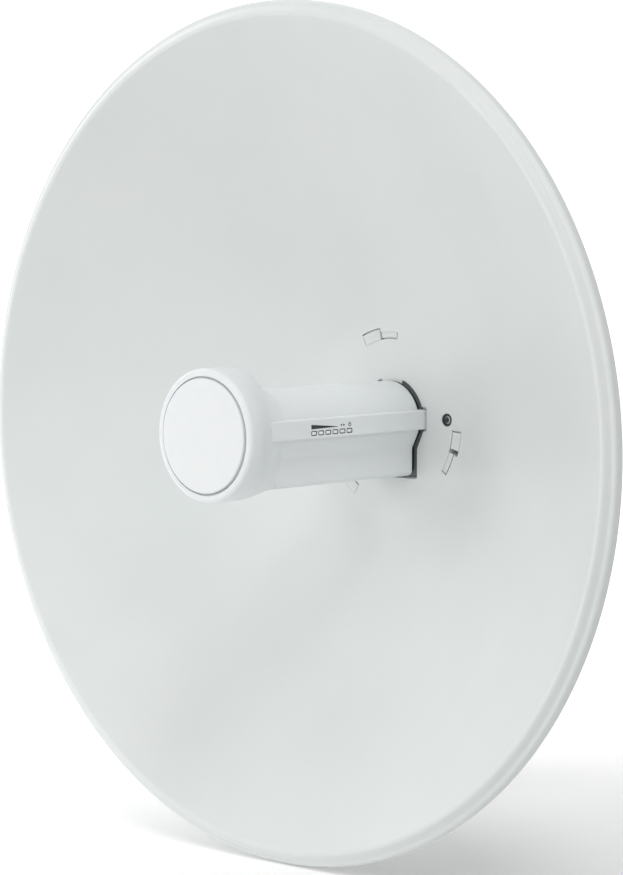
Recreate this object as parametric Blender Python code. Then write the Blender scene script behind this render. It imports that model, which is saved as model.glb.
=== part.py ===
"""A wireless bridge dish antenna: a pressed steel dish, a radio in a plastic feed tube through
its centre, and a plastic housing, tilt bracket and pole bracket behind it.

Metres, +Z up. The dish looks along -Y. The origin is the middle of the flat pad on the back of
the pole bracket, which rests on the pole.
"""

import math

import bmesh
import bpy

# Dish
DISH_RADIUS = 0.260           # outer edge of the rolled rim
RIM_WIDTH = 0.0086            # from the crest of the bowl out to the rim's edge
BOWL_DEPTH = 0.1012           # flat centre to where the bowl's curve would meet the crest
FLAT_RADIUS = 0.0640          # where the bowl's curve would meet its flat centre
FLAT_BLEND = 0.0040           # either side of that, between flat and curve
# The rim beyond the bowl: out from the crest, and back from where the bowl's curve would end
RIM_CURVE = [(-0.0016, 0.0014), (-0.0008, 0.00095), (0.0000, 0.0007), (0.0009, 0.00065), (0.0017, 0.00085),
             (0.0025, 0.00135), (0.0033, 0.0021), (0.0041, 0.0029), (0.0047, 0.00345), (0.0053, 0.0038),
             (0.0062, 0.00395), (0.0070, 0.00415), (0.0077, 0.00465), (0.0082, 0.0055), (0.0085, 0.0068),
             (0.0086, 0.0087)]
SHEET = 0.0012                # steel sheet
DISH_SEGMENTS = 72
CENTRE_TO_PAD = 0.080         # front of the flat centre to the pole pad

# Opening, slots and screw hole in the dish
GAP = 0.0003                  # left between pieces that touch
OPENING_MARGIN = 0.0021       # round the feed's tube
TAB_MARGIN = 0.0005           # round the feed's tube at the tab above it
TAB_ANGLE = math.radians(71)  # edge of that tab, up from the feed's side
RAIL_NOTCH_MARGIN = 0.0013
SLOT_INNER_RADIUS = 0.0503
SLOT_WIDTH = 0.0073                  # wide part of a slot
SLOT_NARROW_WIDTH = 0.0045           # narrow part
SLOT_START = math.radians(85.1)      # first slot's narrow end
SLOT_STEP = math.radians(100.2)      # where it turns wide
SLOT_END = math.radians(116.1)       # its wide end
SLOT_COUNT = 3
HOOK_CLEARANCE = 0.0005
HOOK_WINDOW = math.radians(3.0)      # left open beside the wide tooth
WIDE_TOOTH_STAND = 0.0004            # ahead of the dish's sheet
NARROW_TOOTH_STAND = -0.0005
SCREW_RADIUS_FROM_FEED = 0.0458
SCREW_ANGLE = math.radians(3.4)
SCREW_HOLE_RADIUS = 0.0042
BUSH_RADIUS = 0.0038
CUT_REACH = 0.020             # how far a through cut runs past the sheet or plate it opens

# Feed
FEED_OFFSET = 0.0036          # feed's axis above the dish's axis
FEED_LENGTH = 0.1625          # flat centre to the front disc's face
TUBE_END_GAP = 0.0020         # from the shells' end to the flat centre
NEAR_ARC_RADIUS = 0.0252      # tube at the head
FAR_ARC_RADIUS = 0.0247       # tube at the dish
NEAR_KEEL_HALF = 0.0187
FAR_KEEL_HALF = 0.0189
NEAR_KEEL_DEPTH = 0.0335
FAR_KEEL_DEPTH = 0.0330
KEEL_FILLET = 0.0030
RAIL_TOP = 0.0081
RAIL_BOTTOM = -0.0040
RAIL_STAND = 0.0032           # how far a rail stands proud of the arc
RAIL_SINK = 0.0030            # how deep a rail is let into the shells
SPLIT_HEIGHT = 0.0020         # joint between the shells, under the rails
RAIL_START = 0.0265           # behind the front disc's face
TAIL_INSET = 0.0020           # tail is this much smaller than the tube's far end
TAIL_LENGTH = 0.0260
GASKET_EDGE = 0.0010          # from the gasket to the dish's opening

# Head
DISC_RADIUS = 0.0338
DISC_STAND = 0.0018           # disc's face ahead of the ring
DISC_THICKNESS = 0.0050
DISC_EDGE = 0.0010
GROOVE_WIDTH = 0.0015
RING_RADIUS = 0.0398
RING_ROUNDING = 0.0030
RING_LENGTH = 0.0062
HEAD_CREASE = 0.0305          # where the head starts to close on the tube, behind the disc's face
HEAD_SIDE_HALF = 0.0285       # half width there
HEAD_TOP_HALF = 0.0382        # half height there
HEAD_CLOSING = [(0.0015, 0.10), (0.0055, 0.42), (0.0110, 0.76), (0.0160, 1.0)]
HEAD_END = 0.0475             # back end of the head over the shells

# Lights
LIGHT_COUNT = 6
LIGHT_PITCH = 0.0061
LIGHT_SIZE = (0.0044, 0.0026)        # along the tube, and high
LIGHT_FIRST = 0.0646                 # behind the front disc's face
LIGHT_HEIGHT = -0.0006               # middle of the windows from the feed's axis
GUIDE_BAR = 0.0008

# Rear housing
HOUSING_RADIUS = 0.076
HOUSING_BACK_RADIUS = 0.060
HOUSING_DEPTH = 0.040         # vertex to its back face
HOUSING_SIDE = 0.010          # straight part of its side
SOCKET_CLEARANCE = 0.0005
DOOR_HALF_WIDTH = 0.0170
DOOR_HEIGHT = 0.0180
DOOR_INSET = 0.0020           # door's lower edge inside the edge of the housing's back
DOOR_THICKNESS = 0.0030
DOOR_POCKET_DEPTH = 0.0200
GROMMET_RADIUS = 0.0070
CABLE_HOLE_RADIUS = 0.0035

# Brackets
PLATE = 0.0030                # steel plate
EAR_HALF_SPACING = 0.0295     # outer face of the tilt bracket's ears
EAR_HALF_HEIGHT = 0.034
TILT_WEB_HALF_HEIGHT = 0.042
CHEEK_HALF_HEIGHT = 0.032
PIVOT_TO_PAD = 0.0205
PIVOT_HEIGHT = 0.016
LOCK_SLOT_RADIUS = 0.030      # lock bolt below the pivot
LOCK_SLOT_SPREAD = math.radians(36)
M8 = 0.0040
M6 = 0.0030
M8_HEX = 0.0074               # corner radius of an M8 head or nut
M8_HEAD = 0.0053
M8_NUT = 0.0068
M6_HEX = 0.0055
M6_HEAD = 0.0050
M6_WASHER = 0.0065
M6_WASHER_THICKNESS = 0.0012
M8_FLANGE = 0.0088            # flange nut's rim
M8_FLANGE_THICKNESS = 0.0014
M8_FLANGE_NUT = 0.0078
FLANGE_OVERLAP = 0.0006       # hexagon's start inside its washer or flange
CARRIAGE_HEAD = [(0.0, 0.0045), (0.0045, 0.0038), (0.0076, 0.0018), (0.0085, 0.0)]    # radius, height
THREAD_END = 0.0027           # bolt's thread past its nut
CLAMP_THREAD_END = 0.0120     # clamp bolt's thread past the clamp
HOLE_CLEARANCE = 0.0004
FLANGE_BOLT_SPACING = (0.032, 0.056)
FLANGE_BOLT_DEPTH = 0.012
WING_HALF_WIDTH = 0.045
WING_HALF_HEIGHT = 0.058
PAD_HALF_WIDTH = 0.025
PAD_HALF_HEIGHT = 0.052
PAD_STAND = 0.005             # pad's face behind the wings
CLAMP_BOLT_SPACING = (0.070, 0.084)
CLAMP_HALF_WIDTH = 0.045
CLAMP_HEIGHT = 0.024
POLE_RADIUS = 0.025
POLE_TO_WEB = 0.014           # pole's back to the clamp's web
CLAMP_FLANGE_DEPTH = 0.026
JAW_TEETH = 5
JAW_TOOTH = 0.0016

# Places along the dish's axis
CENTRE_Y = -CENTRE_TO_PAD
CREST_Y = CENTRE_Y - BOWL_DEPTH
CREST_RADIUS = DISH_RADIUS - RIM_WIDTH
TIP_Y = CENTRE_Y - FEED_LENGTH
TUBE_NEAR_Y = TIP_Y + HEAD_END + GAP
TUBE_FAR_Y = CENTRE_Y - TUBE_END_GAP
GASKET_FRONT_Y = CENTRE_Y + SHEET + GAP
GASKET_BACK_Y = GASKET_FRONT_Y + 0.0016
HOUSING_BACK_Y = CENTRE_Y + HOUSING_DEPTH
TILT_WEB_Y = HOUSING_BACK_Y + GAP
WING_BACK_Y = -PAD_STAND
WING_FRONT_Y = WING_BACK_Y - PLATE
CLAMP_WEB_Y = 2 * POLE_RADIUS + POLE_TO_WEB

BOWL_ROWS = [0.0, FLAT_RADIUS - FLAT_BLEND, FLAT_RADIUS + FLAT_BLEND]
BOWL_ROWS += [FLAT_RADIUS + (CREST_RADIUS - FLAT_RADIUS) * share for share in (0.16, 0.32, 0.47, 0.61, 0.75, 0.87, 0.95)]
DOOR_BOTTOM = -(HOUSING_BACK_RADIUS - DOOR_INSET)
DOOR_TOP = DOOR_BOTTOM + DOOR_HEIGHT


def clear_scene():
    for item in list(bpy.data.objects):
        bpy.data.objects.remove(item, do_unlink=True)


def finish(name, colour, roughness, metallic=0.0):
    """A Principled material, made once for each name."""
    made = bpy.data.materials.get(name)
    if made:
        return made
    made = bpy.data.materials.new(name)
    made.use_nodes = True
    shader = made.node_tree.nodes["Principled BSDF"]
    shader.inputs["Base Color"].default_value = (*colour, 1)
    shader.inputs["Roughness"].default_value = roughness
    shader.inputs["Metallic"].default_value = metallic
    return made


def white_paint():
    return finish("dish_paint", (0.74, 0.77, 0.76), 0.35)


def white_plastic():
    return finish("feed_plastic", (0.80, 0.82, 0.82), 0.30)


def housing_plastic():
    return finish("housing_plastic", (0.72, 0.74, 0.74), 0.45)


def dark_plastic():
    return finish("dark_plastic", (0.03, 0.035, 0.035), 0.5)


def grey_rubber():
    return finish("grey_rubber", (0.12, 0.13, 0.13), 0.8)


def clear_guide():
    return finish("light_guide", (0.75, 0.78, 0.78), 0.2)


def zinc_steel():
    return finish("zinc_steel", (0.55, 0.56, 0.57), 0.38, 1.0)


def make(name, bm, material, smooth_angle=30):
    """Turns a bmesh into a shaded object, with its faces pointing out."""
    bmesh.ops.recalc_face_normals(bm, faces=bm.faces)
    mesh = bpy.data.meshes.new(name)
    bm.to_mesh(mesh)
    bm.free()
    mesh.shade_smooth()
    mesh.set_sharp_from_angle(angle=math.radians(smooth_angle))
    item = bpy.data.objects.new(name, mesh)
    bpy.context.collection.objects.link(item)
    if material:
        mesh.materials.append(material)
    return item


def loft(rings):
    """A closed solid through rings of points that match one to one."""
    bm = bmesh.new()
    rows = [[bm.verts.new(point) for point in ring] for ring in rings]
    count = len(rows[0])
    for low, high in zip(rows, rows[1:]):
        for i in range(count):
            j = (i + 1) % count
            bm.faces.new((low[i], low[j], high[j], high[i]))
    bm.faces.new(rows[0])
    bm.faces.new(rows[-1])
    return bm


def along_y(outline, y0, y1):
    """An outline of (x, z) points pushed along Y."""
    return loft([[(x, y, z) for x, z in outline] for y in (y0, y1)])


def along_x(outline, x0, x1):
    """An outline of (y, z) points pushed along X."""
    return loft([[(x, y, z) for y, z in outline] for x in (x0, x1)])


def along_z(outline, z0, z1):
    """An outline of (x, y) points pushed along Z."""
    return loft([[(x, y, z) for x, y in outline] for z in (z0, z1)])


def turned(profile, segments, centre_z=0.0, centre_x=0.0):
    """A solid of revolution about an axis along Y, from (radius, y) points that start and end on it."""
    bm = bmesh.new()
    rows = []
    for radius, y in profile:
        if radius == 0:
            rows.append([bm.verts.new((centre_x, y, centre_z))])
            continue
        turns = [2 * math.pi * k / segments for k in range(segments)]
        rows.append([bm.verts.new((centre_x + radius * math.cos(t), y, centre_z + radius * math.sin(t)))
                     for t in turns])
    for low, high in zip(rows, rows[1:]):
        for k in range(segments):
            j = (k + 1) % segments
            if len(low) == 1:
                bm.faces.new((low[0], high[k], high[j]))
            elif len(high) == 1:
                bm.faces.new((low[k], low[j], high[0]))
            else:
                bm.faces.new((low[k], low[j], high[j], high[k]))
    if len(rows[0]) > 1:
        closing = list(zip(rows[-1], rows[0]))
        for k in range(segments):
            a, b = closing[k]
            c, d = closing[(k + 1) % segments]
            bm.faces.new((a, c, d, b))
    return bm


def rectangle(half_x, z0, z1):
    return [(-half_x, z0), (half_x, z0), (half_x, z1), (-half_x, z1)]


def rounded_rectangle(half_x, half_z, radius, centre=(0.0, 0.0), steps=4):
    points = []
    for sx, sz, start in ((1, 1, 0), (-1, 1, 90), (-1, -1, 180), (1, -1, 270)):
        for k in range(steps + 1):
            t = math.radians(start + 90 * k / steps)
            points.append((centre[0] + sx * (half_x - radius) + radius * math.cos(t),
                           centre[1] + sz * (half_z - radius) + radius * math.sin(t)))
    return points


def circle(radius, segments, centre=(0.0, 0.0)):
    return [(centre[0] + radius * math.cos(2 * math.pi * k / segments),
             centre[1] + radius * math.sin(2 * math.pi * k / segments)) for k in range(segments)]


def cutter(name, bm):
    tool = make(name, bm, None)
    tool.hide_render = True
    tool.display_type = "WIRE"
    return tool


def combine(item, tool, operation):
    step = item.modifiers.new(tool.name, "BOOLEAN")
    step.operation = operation
    step.solver = "EXACT"
    step.object = tool


def cut(item, name, bm):
    combine(item, cutter(name, bm), "DIFFERENCE")


def join(item, name, bm):
    combine(item, cutter(name, bm), "UNION")


# Dish

def curve_y(radius):
    """The bowl's smooth curve: a flat centre, then a parabola up to the crest."""
    if radius <= FLAT_RADIUS - FLAT_BLEND:
        return CENTRE_Y
    risen = (radius ** 2 - FLAT_RADIUS ** 2) / (CREST_RADIUS ** 2 - FLAT_RADIUS ** 2)
    return CENTRE_Y - BOWL_DEPTH * risen


def bowl_y(radius):
    """Front face of the bowl at this radius, following the flats between its rows."""
    rows = BOWL_ROWS + [CREST_RADIUS]
    for low, high in zip(rows, rows[1:]):
        if radius <= high:
            break
    share = (radius - low) / (high - low)
    return curve_y(low) + (curve_y(high) - curve_y(low)) * share


def offset_back(points, distance):
    """The same (radius, y) line, moved back by this distance square to itself."""
    moved = []
    for k, (radius, y) in enumerate(points):
        before = points[max(k - 1, 0)]
        after = points[min(k + 1, len(points) - 1)]
        along_r = after[0] - before[0]
        along_y = after[1] - before[1]
        length = math.hypot(along_r, along_y)
        moved.append((radius - distance * along_y / length, y + distance * along_r / length))
    return moved


def dish_profile():
    """Front of the sheet from the axis out to the rim's edge, then its back to the axis again."""
    bowl = [(r, bowl_y(r)) for r in BOWL_ROWS]
    rim = [(CREST_RADIUS + out, CREST_Y + back) for out, back in RIM_CURVE]
    bowl_back = [(r, y + SHEET) for r, y in bowl[:-1]]
    rim_back = offset_back([bowl[-1]] + rim, SHEET)[:-1]
    rim_back.append((rim[-1][0] - SHEET, rim[-1][1]))
    return bowl + rim + list(reversed(rim_back)) + list(reversed(bowl_back))


def tube_outline(arc, keel_half, keel_depth, margin=0.0, rail_gap=None):
    """Outline of the feed's tube about its axis: round above, a box keel below.

    With rail_gap the flanks are let in by that much between the rails' edges, and with margin the
    whole outline grows outwards.
    """
    r = arc + margin
    k = keel_half + margin
    b = keel_depth + margin
    f = KEEL_FILLET
    right = [(r * math.cos(math.radians(t)), r * math.sin(math.radians(t))) for t in (78, 66, 54, 42, 31)]
    top = RAIL_TOP + GAP
    bottom = RAIL_BOTTOM - GAP
    lower_angle = math.asin(bottom / r) - math.radians(5)
    x_top = math.sqrt(r * r - top * top)
    x_bottom = math.sqrt(r * r - bottom * bottom)
    right.append((x_top, top))
    if rail_gap is not None:
        right += [(arc - rail_gap, top), (arc - rail_gap, SPLIT_HEIGHT), (arc - rail_gap, bottom)]
    else:
        right += [(math.sqrt(r * r - SPLIT_HEIGHT * SPLIT_HEIGHT), SPLIT_HEIGHT)]
    right.append((x_bottom, bottom))
    right.append((r * math.cos(lower_angle), r * math.sin(lower_angle)))
    right.append((k, -0.65 * arc))
    right.append((k, -(b - f)))
    right += [(k - f + f * math.cos(math.radians(t)), -(b - f) + f * math.sin(math.radians(t)))
              for t in (-30, -60, -90)]
    left = [(-x, z) for x, z in reversed(right)]
    return [(0.0, r)] + right + left


def opening_outline():
    """The keyhole in the dish, with a notch for each rail."""
    r = FAR_ARC_RADIUS + OPENING_MARGIN
    k = FAR_KEEL_HALF + OPENING_MARGIN
    b = FAR_KEEL_DEPTH + OPENING_MARGIN
    top = RAIL_TOP + RAIL_NOTCH_MARGIN
    bottom = RAIL_BOTTOM - RAIL_NOTCH_MARGIN
    notch_x = FAR_ARC_RADIUS + RAIL_STAND + RAIL_NOTCH_MARGIN * 0.7
    tab = FAR_ARC_RADIUS + TAB_MARGIN
    right = [(tab * math.cos(t), tab * math.sin(t)) for t in (math.pi / 4 + TAB_ANGLE / 2, TAB_ANGLE)]
    right += [(r * math.cos(TAB_ANGLE), r * math.sin(TAB_ANGLE))]
    right += [(r * math.cos(math.radians(t)), r * math.sin(math.radians(t))) for t in (60, 50, 40, 30)]
    right += [(math.sqrt(r * r - top ** 2), top), (notch_x, top), (notch_x, bottom)]
    right += [(math.sqrt(r * r - bottom ** 2), bottom), (k, -0.67 * FAR_ARC_RADIUS), (k, -b)]
    left = [(-x, z) for x, z in reversed(right)]
    return [(0.0, tab)] + right + left


def at_feed(outline):
    return [(x, z + FEED_OFFSET) for x, z in outline]


def sector(start, end, inner, outer, front, back, steps=4):
    """A block between two radii and two angles about the feed."""
    turns = [start + (end - start) * k / steps for k in range(steps + 1)]
    edge = [(inner, t) for t in turns] + [(outer, t) for t in reversed(turns)]
    return along_y([(r * math.cos(t), FEED_OFFSET + r * math.sin(t)) for r, t in edge], front, back)


def slot_turns():
    """How far each slot is turned from the first."""
    return [-2 * math.pi * k / SLOT_COUNT for k in range(SLOT_COUNT)]


def slot_outline(turn, steps=4):
    inner = [(SLOT_INNER_RADIUS, SLOT_START + (SLOT_END - SLOT_START) * k / (2 * steps)) for k in range(2 * steps + 1)]
    wide = [(SLOT_INNER_RADIUS + SLOT_WIDTH, SLOT_END + (SLOT_STEP - SLOT_END) * k / steps) for k in range(steps + 1)]
    narrow = [(SLOT_INNER_RADIUS + SLOT_NARROW_WIDTH, SLOT_STEP + (SLOT_START - SLOT_STEP) * k / steps)
              for k in range(steps + 1)]
    return [(r * math.cos(t + turn), r * math.sin(t + turn)) for r, t in inner + wide + narrow]


def screw_centre():
    return (SCREW_RADIUS_FROM_FEED * math.cos(SCREW_ANGLE),
            FEED_OFFSET + SCREW_RADIUS_FROM_FEED * math.sin(SCREW_ANGLE))


def build_dish():
    dish = make("dish_reflector", turned(dish_profile(), DISH_SEGMENTS), white_paint(), 40)
    near, far = CENTRE_Y - CUT_REACH, CENTRE_Y + CUT_REACH
    cut(dish, "opening_cut", along_y(at_feed(opening_outline()), near, far))
    for number, turn in enumerate(slot_turns(), 1):
        cut(dish, f"slot_cut_{number}", along_y(at_feed(slot_outline(turn)), near, far))
    cut(dish, "screw_hole_cut", along_y(circle(SCREW_HOLE_RADIUS, 20, screw_centre()), near, far))


# Feed

def tube_rings(outline_at, y0, y1):
    """Two rings of the tapered tube, between two places along it."""
    rings = []
    for y in (y0, y1):
        share = (y - TUBE_NEAR_Y) / (TUBE_FAR_Y - TUBE_NEAR_Y)
        arc = NEAR_ARC_RADIUS + (FAR_ARC_RADIUS - NEAR_ARC_RADIUS) * share
        half = NEAR_KEEL_HALF + (FAR_KEEL_HALF - NEAR_KEEL_HALF) * share
        depth = NEAR_KEEL_DEPTH + (FAR_KEEL_DEPTH - NEAR_KEEL_DEPTH) * share
        rings.append([(x, y, z) for x, z in at_feed(outline_at(arc, half, depth))])
    return rings


def build_shells():
    def upper(arc, half, depth):
        whole = tube_outline(arc, half, depth, rail_gap=RAIL_SINK)
        kept = [(x, z) for x, z in whole if z > SPLIT_HEIGHT]
        flank = arc - RAIL_SINK
        right = [p for p in kept if p[0] >= 0]
        left = [p for p in kept if p[0] < 0]
        seam = SPLIT_HEIGHT + GAP / 2
        return right + [(flank, seam), (-flank, seam)] + left

    def lower(arc, half, depth):
        whole = tube_outline(arc, half, depth, rail_gap=RAIL_SINK)
        kept = [(x, z) for x, z in whole if z < SPLIT_HEIGHT]
        flank = arc - RAIL_SINK
        seam = SPLIT_HEIGHT - GAP / 2
        return [(flank, seam)] + kept + [(-flank, seam)]

    make("feed_upper_shell", loft(tube_rings(upper, TUBE_NEAR_Y, TUBE_FAR_Y)), white_plastic())
    make("feed_lower_shell", loft(tube_rings(lower, TUBE_NEAR_Y, TUBE_FAR_Y)), white_plastic())


def rail_faces(y):
    """Inner and outer distance of a rail from the feed's axis plane."""
    share = (y - TUBE_NEAR_Y) / (TUBE_FAR_Y - TUBE_NEAR_Y)
    arc = NEAR_ARC_RADIUS + (FAR_ARC_RADIUS - NEAR_ARC_RADIUS) * share
    return arc - RAIL_SINK + GAP, arc + RAIL_STAND


def rail_block(side, y0, y1, grow=0.0, inner_grow=0.0):
    rings = []
    for y in (y0 - grow, y1 + grow):
        inner, outer = rail_faces(y)
        inner -= inner_grow
        outer += grow
        corners = [(inner, RAIL_BOTTOM - grow), (outer, RAIL_BOTTOM - grow + 0.0006),
                   (outer, RAIL_TOP + grow - 0.0006), (inner, RAIL_TOP + grow)]
        rings.append([(side * x, y, z) for x, z in at_feed(corners)])
    return loft(rings)


def light_places():
    return [TIP_Y + LIGHT_FIRST + LIGHT_PITCH * k for k in range(LIGHT_COUNT)]


def build_rails():
    start = TIP_Y + RAIL_START
    end = GASKET_FRONT_Y - GAP
    for side, name in ((1, "feed_light_rail"), (-1, "feed_plain_rail")):
        rail = make(name, rail_block(side, start, end), white_plastic())
        if side < 0:
            continue
        half_y, half_z = (size / 2 for size in LIGHT_SIZE)
        for number, y in enumerate(light_places(), 1):
            outline = [(y - half_y, FEED_OFFSET + LIGHT_HEIGHT - half_z),
                       (y + half_y, FEED_OFFSET + LIGHT_HEIGHT - half_z),
                       (y + half_y, FEED_OFFSET + LIGHT_HEIGHT + half_z),
                       (y - half_y, FEED_OFFSET + LIGHT_HEIGHT + half_z)]
            cut(rail, f"light_window_{number}", along_x(outline, 0.020, 0.040))
        pocket = guide_bar_block(GAP)
        cut(rail, "guide_pocket", pocket)


def guide_bar_block(grow):
    """The bar that joins the light guide's six fingers, let into the back of the rail."""
    places = light_places()
    rings = []
    for y in (places[0] - LIGHT_SIZE[0] / 2 - 0.0012 - grow, places[-1] + LIGHT_SIZE[0] / 2 + 0.0012 + grow):
        inner, _ = rail_faces(y)
        low = FEED_OFFSET + LIGHT_HEIGHT - LIGHT_SIZE[1] / 2 - 0.0008 - grow
        high = FEED_OFFSET + LIGHT_HEIGHT + LIGHT_SIZE[1] / 2 + 0.0008 + grow
        start = inner - (0.0010 if grow else 0.0)
        rings.append([(start, y, low), (inner + GUIDE_BAR + grow, y, low),
                      (inner + GUIDE_BAR + grow, y, high), (start, y, high)])
    return loft(rings)


def build_light_guide():
    guide = make("signal_light_guide", guide_bar_block(0.0), clear_guide())
    half_y, half_z = (size / 2 - GAP for size in LIGHT_SIZE)
    for number, y in enumerate(light_places(), 1):
        inner, outer = rail_faces(y)
        centre = FEED_OFFSET + LIGHT_HEIGHT
        outline = [(y - half_y, centre - half_z), (y + half_y, centre - half_z),
                   (y + half_y, centre + half_z), (y - half_y, centre + half_z)]
        join(guide, f"light_finger_{number}", along_x(outline, inner + GUIDE_BAR / 2, outer - 0.0002))


def filled_in(outline, widest=math.radians(9)):
    """The outline with points added where two neighbours lie far apart as seen from its middle."""
    points = []
    for (x0, z0), (x1, z1) in zip(outline, outline[1:] + outline[:1]):
        turn = abs((math.atan2(z1, x1) - math.atan2(z0, x0) + math.pi) % (2 * math.pi) - math.pi)
        steps = max(1, math.ceil(turn / widest))
        points += [(x0 + (x1 - x0) * k / steps, z0 + (z1 - z0) * k / steps) for k in range(steps)]
    return points


def head_ring(y, share, half_x, half_z):
    """A ring of the head: an ellipse that turns into the tube's outline as share goes to 1."""
    points = []
    for x, z in filled_in(tube_outline(NEAR_ARC_RADIUS, NEAR_KEEL_HALF, NEAR_KEEL_DEPTH)):
        angle = math.atan2(z, x)
        reach = 1 / math.hypot(math.cos(angle) / half_x, math.sin(angle) / half_z)
        points.append((x * share + reach * math.cos(angle) * (1 - share), y,
                       FEED_OFFSET + z * share + reach * math.sin(angle) * (1 - share)))
    return points


def build_head():
    ring_y = TIP_Y + DISC_STAND
    rings = []
    for k in range(5):
        t = math.radians(90 * k / 4)
        radius = RING_RADIUS - RING_ROUNDING * (1 - math.sin(t))
        rings.append(head_ring(ring_y + RING_ROUNDING * (1 - math.cos(t)), 0, radius, radius))
    shoulder_y = ring_y + RING_LENGTH
    crease_y = TIP_Y + HEAD_CREASE
    rings.append(head_ring(shoulder_y, 0, RING_RADIUS, RING_RADIUS))
    for step in (0.3, 0.6, 0.85, 1.0):
        width = RING_RADIUS + (HEAD_SIDE_HALF - RING_RADIUS) * math.sin(step * math.pi / 2)
        height = RING_RADIUS + (HEAD_TOP_HALF - RING_RADIUS) * step ** 2
        rings.append(head_ring(shoulder_y + (crease_y - shoulder_y) * step, 0, width, height))
    for behind, share in HEAD_CLOSING:
        rings.append(head_ring(crease_y + behind, share, HEAD_SIDE_HALF, HEAD_TOP_HALF))
    rings.append(head_ring(TIP_Y + HEAD_END, 1, HEAD_SIDE_HALF, HEAD_TOP_HALF))
    head = make("feed_head", loft(rings), white_plastic(), 50)
    floor_y = TIP_Y + DISC_THICKNESS + GAP
    cut(head, "disc_recess", along_y(at_feed(circle(DISC_RADIUS + GROOVE_WIDTH, 48)), TIP_Y - 0.005, floor_y))
    for side, name in ((1, "light_rail_seat"), (-1, "plain_rail_seat")):
        cut(head, name, rail_block(side, TIP_Y + RAIL_START, TIP_Y + HEAD_END + 0.01, GAP, 2 * GAP))


def build_disc():
    profile = [(0, TIP_Y), (DISC_RADIUS - DISC_EDGE, TIP_Y), (DISC_RADIUS - DISC_EDGE * 0.3, TIP_Y + DISC_EDGE * 0.3),
               (DISC_RADIUS, TIP_Y + DISC_EDGE), (DISC_RADIUS, TIP_Y + DISC_THICKNESS), (0, TIP_Y + DISC_THICKNESS)]
    make("feed_front_disc", turned(profile, 48, FEED_OFFSET), white_plastic())


def tail_outline(grow=0.0):
    return at_feed(tube_outline(FAR_ARC_RADIUS - TAIL_INSET, FAR_KEEL_HALF - TAIL_INSET,
                                FAR_KEEL_DEPTH - TAIL_INSET, margin=grow))


def build_tail():
    start = TUBE_FAR_Y + GAP
    tail = make("feed_tail", along_y(tail_outline(), start, start + TAIL_LENGTH), dark_plastic())
    for side, name in ((1, "tail_light_rail_seat"), (-1, "tail_plain_rail_seat")):
        cut(tail, name, rail_block(side, TUBE_FAR_Y - 0.01, CENTRE_Y + 0.002, GAP, 2 * GAP))


def build_gasket():
    outline = tail_outline(TAIL_INSET + OPENING_MARGIN - GASKET_EDGE)
    gasket = make("feed_gasket", along_y(outline, GASKET_FRONT_Y, GASKET_BACK_Y), grey_rubber())
    cut(gasket, "gasket_hole", along_y(tail_outline(GAP), GASKET_FRONT_Y - 0.01, GASKET_BACK_Y + 0.01))


# Rear housing

def build_housing():
    rows = [0.0] + [r for r in BOWL_ROWS[1:] if r < HOUSING_RADIUS] + [HOUSING_RADIUS]
    front = [(r, bowl_y(r) + SHEET + GAP) for r in rows]
    rim_y = front[-1][1]
    back = HOUSING_BACK_Y
    side = [(HOUSING_RADIUS, rim_y + HOUSING_SIDE)]
    for k in range(1, 4):
        t = math.radians(30 * k)
        side.append((HOUSING_BACK_RADIUS + (HOUSING_RADIUS - HOUSING_BACK_RADIUS) * math.cos(t),
                     rim_y + HOUSING_SIDE + (back - rim_y - HOUSING_SIDE) * math.sin(t)))
    profile = front + side + [(0, back)]
    housing = make("rear_housing", turned(profile, DISH_SEGMENTS), housing_plastic(), 40)
    socket_end = TUBE_FAR_Y + GAP + TAIL_LENGTH + GAP
    cut(housing, "tail_socket", along_y(tail_outline(SOCKET_CLEARANCE), CENTRE_Y - 0.02, socket_end))
    seat = GASKET_BACK_Y + GAP
    cut(housing, "gasket_seat", along_y(tail_outline(TAIL_INSET + OPENING_MARGIN - GASKET_EDGE + GAP), CENTRE_Y - 0.02, seat))
    hole = screw_centre()
    cut(housing, "bush_seat", along_y(circle(BUSH_RADIUS + GAP, 20, hole), CENTRE_Y - 0.02, bush_seat_y() + GAP))
    cut(housing, "screw_bore", along_y(circle(0.0024, 16, hole), CENTRE_Y - 0.02, CENTRE_Y + 0.020))
    build_hooks(housing)
    cut(housing, "door_pocket", along_y(rectangle(DOOR_HALF_WIDTH + GAP, DOOR_BOTTOM - GAP, DOOR_TOP + GAP),
                                        back - DOOR_POCKET_DEPTH, back + 0.01))
    cable_y = back - DOOR_POCKET_DEPTH / 2
    cut(housing, "grommet_hole", along_z(circle(GROMMET_RADIUS + GAP, 24, (0, cable_y)), -0.10, DOOR_BOTTOM + 0.004))
    for number, (x, z) in enumerate(flange_bolt_places(), 1):
        cut(housing, f"flange_bolt_hole_{number}",
            along_y(circle(M6 + GAP, 16, (x, z)), back - FLANGE_BOLT_DEPTH, back + 0.01))


def build_hooks(housing):
    """Bayonet hooks that come through the dish's slots, each with a wide and a narrow tooth."""
    root_y = CENTRE_Y + SHEET + 0.006
    inner = SLOT_INNER_RADIUS + HOOK_CLEARANCE
    edge = HOOK_CLEARANCE / SLOT_INNER_RADIUS
    wide_outer = SLOT_INNER_RADIUS + SLOT_WIDTH - HOOK_CLEARANCE
    narrow_outer = SLOT_INNER_RADIUS + SLOT_NARROW_WIDTH - HOOK_CLEARANCE
    for number, turn in enumerate(slot_turns(), 1):
        join(housing, f"hook_wide_{number}",
             sector(SLOT_STEP + HOOK_WINDOW + turn, SLOT_END - edge + turn, inner, wide_outer,
                    CENTRE_Y - WIDE_TOOTH_STAND, root_y))
        join(housing, f"hook_narrow_{number}",
             sector(SLOT_START + edge + turn, SLOT_STEP + turn, inner, narrow_outer,
                    CENTRE_Y - NARROW_TOOTH_STAND, root_y))


def bush_seat_y():
    x, z = screw_centre()
    return bowl_y(math.hypot(x, z)) + SHEET + 0.0016


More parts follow.
